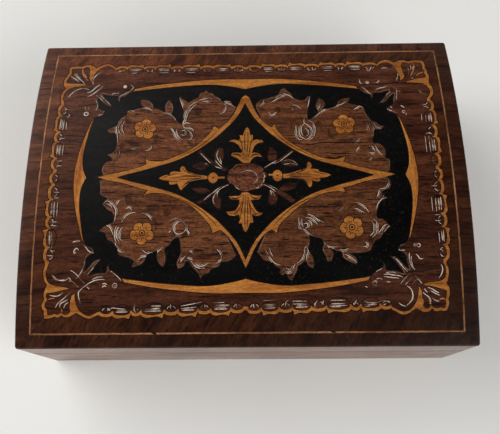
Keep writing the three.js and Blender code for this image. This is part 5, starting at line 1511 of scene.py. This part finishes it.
# The bevels behind the hinge line, cut through the back ends of the side pieces.
def cutBevel(piece, way):
    out = boxHalf[1] + 1
    slopes = (min(way, 0) * bevelSlope, max(way, 0) * bevelSlope)
    profile = [[*axis]] + [[out, axis[1] + slope * (out - axis[0])] for slope in slopes]
    ends = [np.column_stack([np.full(3, x), profile]) for x in (-boxHalf[0] - 1, boxHalf[0] + 1)]
    cutWith(piece, [helper(np.vstack(ends), tubeFaces(2, 3))])


wallPieces, railPieces = {}, {}
for side, turns in sideTurns.items():
    turn = math.pi / 2 * (turns % 2)
    woods = [woodMaterial(f"{side}_{part}_wood", "outside", (9 + turns * 3, 4 + turns, up), turn)
             for part, up in (("wall", 2), ("rail", 2.3))]
    wallPieces[side] = mitredSide(side + "_wall", side, wallProfile(side), woods[:1], "base", "walnut")
    railPieces[side] = mitredSide(f"lid_{side}_rail", side, railProfile(side), woods[1:], "lid", "walnut")
    if side in ("left", "right"):
        cutBevel(wallPieces[side], -1)
        cutBevel(railPieces[side], 1)
print("stage: walls and rails")


# A bar along X or Y between two ends, from a closed profile in the other two directions. One along Y
# runs from its back end to its front, which keeps its faces outwards.
def bar(name, profile, along, ends, materials, body, slot, stations=2):
    points = np.empty((stations, len(profile), 3))
    points[:, :, along] = np.linspace(*ends, stations)[:, None]
    points[:, :, [1 - along, 2]] = profile
    faces = tubeFaces(stations, len(profile))
    return addPiece(name, points.reshape(-1, 3), faces, materials, body, slot, [name], 30)


# A rectangle's outline with rounded corners, anticlockwise.
def roundedProfile(low, high, radii):
    (x0, y0), (x1, y1) = low, high
    a, b, c, d = (max(r, 0.01) for r in radii)
    return np.vstack([arcPoints((x0 + a, y0 + a), a, 180, 270), arcPoints((x1 - b, y0 + b), b, 270, 360),
                      arcPoints((x1 - c, y1 - c), c, 0, 90), arcPoints((x0 + d, y1 - d), d, 90, 180)])


low, high = nodeBox("bottom_board")
bar("bottom_board", roundedProfile(low[1:], high[1:], (0.25, 0.25, 0.1, 0.1)), 0, (low[0], high[0]),
    [insideWalnut], "base", "walnut_inside")
for side in ("left", "right"):
    low, high = nodeBox(side + "_divider")
    wood = woodMaterial(side + "_divider_wood", "inside", (6, 2 + low[0], 3), math.pi / 2)
    bar(side + "_divider", roundedProfile(low[[0, 2]], high[[0, 2]], (0.05, 0.05, 1.3, 1.3)),
        1, (high[1], low[1]), [wood], "base", "walnut_inside")
for number, side in enumerate(("left", "middle", "right")):
    name = side + "_scooped_floor"
    low, high = nodeBox(name)
    t = np.linspace(0, 1, 22)
    reach = high[1]
    floorLow = low[2] + scoopThick
    edge = np.stack([scoopFlat + (reach - scoopFlat) * np.sin(t * np.pi / 2),
                     high[2] - (high[2] - floorLow) * np.cos(t * np.pi / 2)], 1)
    profile = np.vstack([[[-reach, low[2]], [reach, low[2]]], edge[::-1], edge * [-1, 1]])
    wood = woodMaterial(name + "_wood", "inside", (2 * number, 7, number), math.pi / 2)
    bar(name, profile, 0, (low[0], high[0]), [wood], "base", "walnut_inside")

# The lid's board: an arch above and below
low, high = nodeBox("lid_board")
y = np.linspace(high[1], low[1], 30)
upper, lower = (np.stack([y, archHeight(y) - veneer - lidBoard[face]], 1) for face in ("over", "under"))
bar("lid_board", np.vstack([upper, lower[::-1]]), 0, (low[0], high[0]),
    [woodMaterial("lid_board_wood", "inside", (1, 3, 8))], "lid", "walnut_inside", 12)
print("stage: inside")


# Hinges: brass leaves let into the wood, with knuckles turned round a pin, and slotted screws

hinge = {"thick": 0.9, "edge": 50.0, "barrel": 1.7, "bore": 0.9, "root": 1.1, "notch": 2.25, "centre": 3.96,
         "outer": 4.26, "chamfer": 0.14, "groove": 1.95, "slack": 0.15, "pocketPlay": 0.03,
         "screwAside": 7.0, "screwY": 51.6}
pinEnd = ((0.22, 0.8), (0.132, 0.62), (0.0, 0.3))  # places from the end of the pin, and radii
screwRows = ((0.0, 1.25), (0.65, 0.65), (3.6, 0.6), (5.2, 0.12))  # depths below the leaf, and radii
screwSlot = {"width": 0.35, "depth": 0.3, "above": 0.2, "reach": 1.4, "clearance": 0.04}


# A solid turned about a line along X or Z, from rows of (place on the line, radius).
def turnedSolid(rows, middle, alongX, columns=32):
    along, radius = np.array(sorted(rows)).T[:, :, None]
    angle = np.arange(columns) * 2 * np.pi / columns
    across, upwards = radius * np.cos(angle), radius * np.sin(angle)
    along = np.broadcast_to(along, across.shape)
    points = np.stack([along, across, upwards] if alongX else [across, upwards, along], -1)
    return points.reshape(-1, 3) + middle, tubeFaces(len(rows), columns)


# An upright prism over a flat outline.
def prism(outline, lowZ, highZ):
    outline = np.array(outline, float)
    points = [np.column_stack([outline, np.full(len(outline), z)]) for z in (lowZ, highZ)]
    return np.vstack(points), tubeFaces(2, len(outline))


# The corners of a rectangle, anticlockwise.
def rectangle(low, high):
    return [(low[0], low[1]), (high[0], low[1]), (high[0], high[1]), (low[0], high[1])]


# One hinge: its pin, then each leaf as a notched plate joined to its knuckles and bored for the pin
# and the screws, and two slotted screws in each.
def addHinge(place, middle, reach):
    line = np.array([middle, *axis])
    rows = [(way * (reach - inset), radius) for way in (-1, 1) for inset, radius in pinEnd]
    name = place + "_hinge_pin"
    addPiece(name, *turnedSolid(rows, line, True), [brass], "base", "brass", [name])
    bore = [(-reach - 1, hinge["bore"]), (reach + 1, hinge["bore"])]
    chamfer, barrel, clear = hinge["chamfer"], hinge["barrel"], screwSlot["clearance"]
    for owner, body, face, way in (("body", "base", bodyTop, -1), ("lid", "lid", lidBottom, 1)):
        name = f"{place}_hinge_{owner}_leaf"
        ends = [axis[0] - hinge["root"], axis[0] - hinge["notch"]]
        inner, knuckles = hinge["outer"], ((-reach, -hinge["outer"]), (hinge["outer"], reach))
        if owner == "lid":
            ends.reverse()
            inner, knuckles = hinge["centre"], ((-hinge["centre"], hinge["centre"]),)
        right = [(reach, hinge["edge"]), (reach, ends[0]), (inner, ends[0]), (inner, ends[1])]
        outline = [(-reach, hinge["edge"])] + right + [(-x, y) for x, y in right[:0:-1]]
        outline = [(middle + x, y) for x, y in outline]
        plate = prism(outline, *sorted((face, face + way * hinge["thick"])))
        leafPiece = addPiece(name, *plate, [brass], body, "brass", [name])
        turned = [[(low, barrel - chamfer), (low + chamfer, barrel), (high - chamfer, barrel),
                   (high, barrel - chamfer)] for low, high in knuckles]
        cutWith(leafPiece, [helper(*turnedSolid(rows, line, True, 48)) for rows in turned], "UNION")
        cutters = [helper(*turnedSolid(bore, line, True))]
        for number, side in enumerate((-1, 1)):
            spot = np.array([middle + side * hinge["screwAside"], hinge["screwY"], face])
            screw = f"{place}_hinge_{owner}_screw_{number + 1}"
            rows = [(way * depth, radius) for depth, radius in screwRows]
            screwPiece = addPiece(screw, *turnedSolid(rows, spot, False), [brass], body, "brass", [screw])
            half = np.array([screwSlot["width"] / 2, screwSlot["reach"]])
            slot = prism(rectangle(spot[:2] - half, spot[:2] + half),
                         *sorted((face - way * screwSlot["above"], face + way * screwSlot["depth"])))
            cutWith(screwPiece, [helper(*slot)])
            wider = [(-way * screwSlot["above"], screwRows[0][1] + clear)]
            wider += [(place, radius + clear) for place, radius in rows]
            cutters.append(helper(*turnedSolid(wider, spot, False)))
        cutWith(leafPiece, cutters)


# Both hinges, and for each leaf a pocket and a groove for the knuckles in the wood behind it
hingeReach = (pin[1] - pin[0])[0] / 2
pockets = {"body": [], "lid": []}
for place in ("left", "right"):
    low, high = nodeBox(place + "_hinge_pin")
    middle = (low[0] + high[0]) / 2
    addHinge(place, middle, hingeReach)
    span = hingeReach + hinge["slack"]
    outline = rectangle((middle - span, hinge["edge"] - hinge["slack"]), (middle + span, boxHalf[1] + 1))
    groove = [(-span, hinge["groove"]), (span, hinge["groove"])]
    for owner, face, way in (("body", bodyTop, -1), ("lid", lidBottom, 1)):
        floor = face + way * (hinge["thick"] + hinge["pocketPlay"])
        pockets[owner].append(helper(*prism(outline, *sorted((face - way, floor)))))
        pockets[owner].append(helper(*turnedSolid(groove, np.array([middle, *axis]), True)))
cutWith(wallPieces["back"], pockets["body"])
cutWith(railPieces["back"], pockets["lid"])
print("stage: hinges")


# Camera, as the photograph was taken

photoCamera = {
    "place": (4.523, -79.194, 247.446),
    "right": (0.99985, -0.00504, -0.01664),
    "up": (0.00995, 0.95068, 0.31001),
    "lens": 44.58,
    "sensor": 36.0,
}
cameraData = bpy.data.cameras.new("camera")
cameraData.sensor_width = photoCamera["sensor"]
cameraData.lens = photoCamera["lens"]
cameraData.clip_start, cameraData.clip_end = 0.01, 20
camera = bpy.data.objects.new("camera", cameraData)
bpy.context.scene.collection.objects.link(camera)
right, up = Vector(photoCamera["right"]).normalized(), Vector(photoCamera["up"]).normalized()
back = right.cross(up).normalized()
turnMatrix = Matrix((right, back.cross(right), back)).transposed()
camera.matrix_world = Matrix.Translation(Vector(photoCamera["place"]) * mm) @ turnMatrix.to_4x4()
bpy.context.scene.camera = camera


# Floor, soft lights and world

studio = {
    "floor": colour(249, 249, 247),
    "floorShade": colour(240, 240, 238),
    "floorSize": 6.0,
    "window": dict(place=(-1.15, 0.62, 0.74), size=1.7, power=23.5, tint=(1.0, 0.985, 0.955)),
    "fill": dict(place=(1.4, -1.1, 0.9), size=1.7, power=26.0, tint=(0.97, 0.985, 1.0)),
    "walls": colour(255, 253, 250),
    "wallStrength": (0.75, 2.5),  # of the pale room round the table, behind the box and before it
    "wallTurn": (0.35, -0.75),  # the directions' Y between which the strength changes
    "ceilingShare": 0.05,  # what is left of it straight overhead
    "wallTop": (0.25, 0.55),  # sines of the heights between which the walls give way to the ceiling
}


# The pale table that the box stands on.
def addFloor():
    half = studio["floorSize"] / 2
    mesh = bpy.data.meshes.new("floor")
    corners = [(-half, -half, 0), (half, -half, 0), (half, half, 0), (-half, half, 0)]
    mesh.from_pydata(corners, [], [[0, 1, 2, 3]])
    material, tree, shader, coordinates = newMaterial("paleFloor")
    mottled = noise(tree, coordinates, (6, 6, 6))
    dress(tree, shader, mixColour(tree, mottled, studio["floor"], studio["floorShade"]), 0.55)
    mesh.materials.append(material)
    floor = bpy.data.objects.new("floor", mesh)
    bpy.context.scene.collection.objects.link(floor)


# A square soft light that faces the box.
def addLight(name, settings):
    data = bpy.data.lights.new(name, "AREA")
    data.shape = "SQUARE"
    data.size = settings["size"]
    data.energy = settings["power"]
    data.color = settings["tint"]
    light = bpy.data.objects.new(name, data)
    light.location = settings["place"]
    light.rotation_mode = "QUATERNION"
    light.rotation_quaternion = (-Vector(settings["place"])).to_track_quat("-Z", "Y")
    bpy.context.scene.collection.objects.link(light)


addFloor()
addLight("window", studio["window"])
addLight("fill", studio["fill"])
world = bpy.data.worlds.new("room")
world.use_nodes = True
worldTree = world.node_tree
direction = separated(worldTree, worldTree.nodes.new("ShaderNodeTexCoord").outputs["Generated"])
sideways = mapRange(worldTree, direction[1], *studio["wallTurn"], *studio["wallStrength"])
upwards = mapRange(worldTree, direction[2], *studio["wallTop"], 1.0, studio["ceilingShare"])
feed(worldTree, worldTree.nodes["Background"].inputs[1], product(worldTree, sideways, upwards))
worldTree.nodes["Background"].inputs[0].default_value = studio["walls"]
bpy.context.scene.world = world
bpy.context.scene.view_settings.view_transform = "Standard"

print("stage: done")
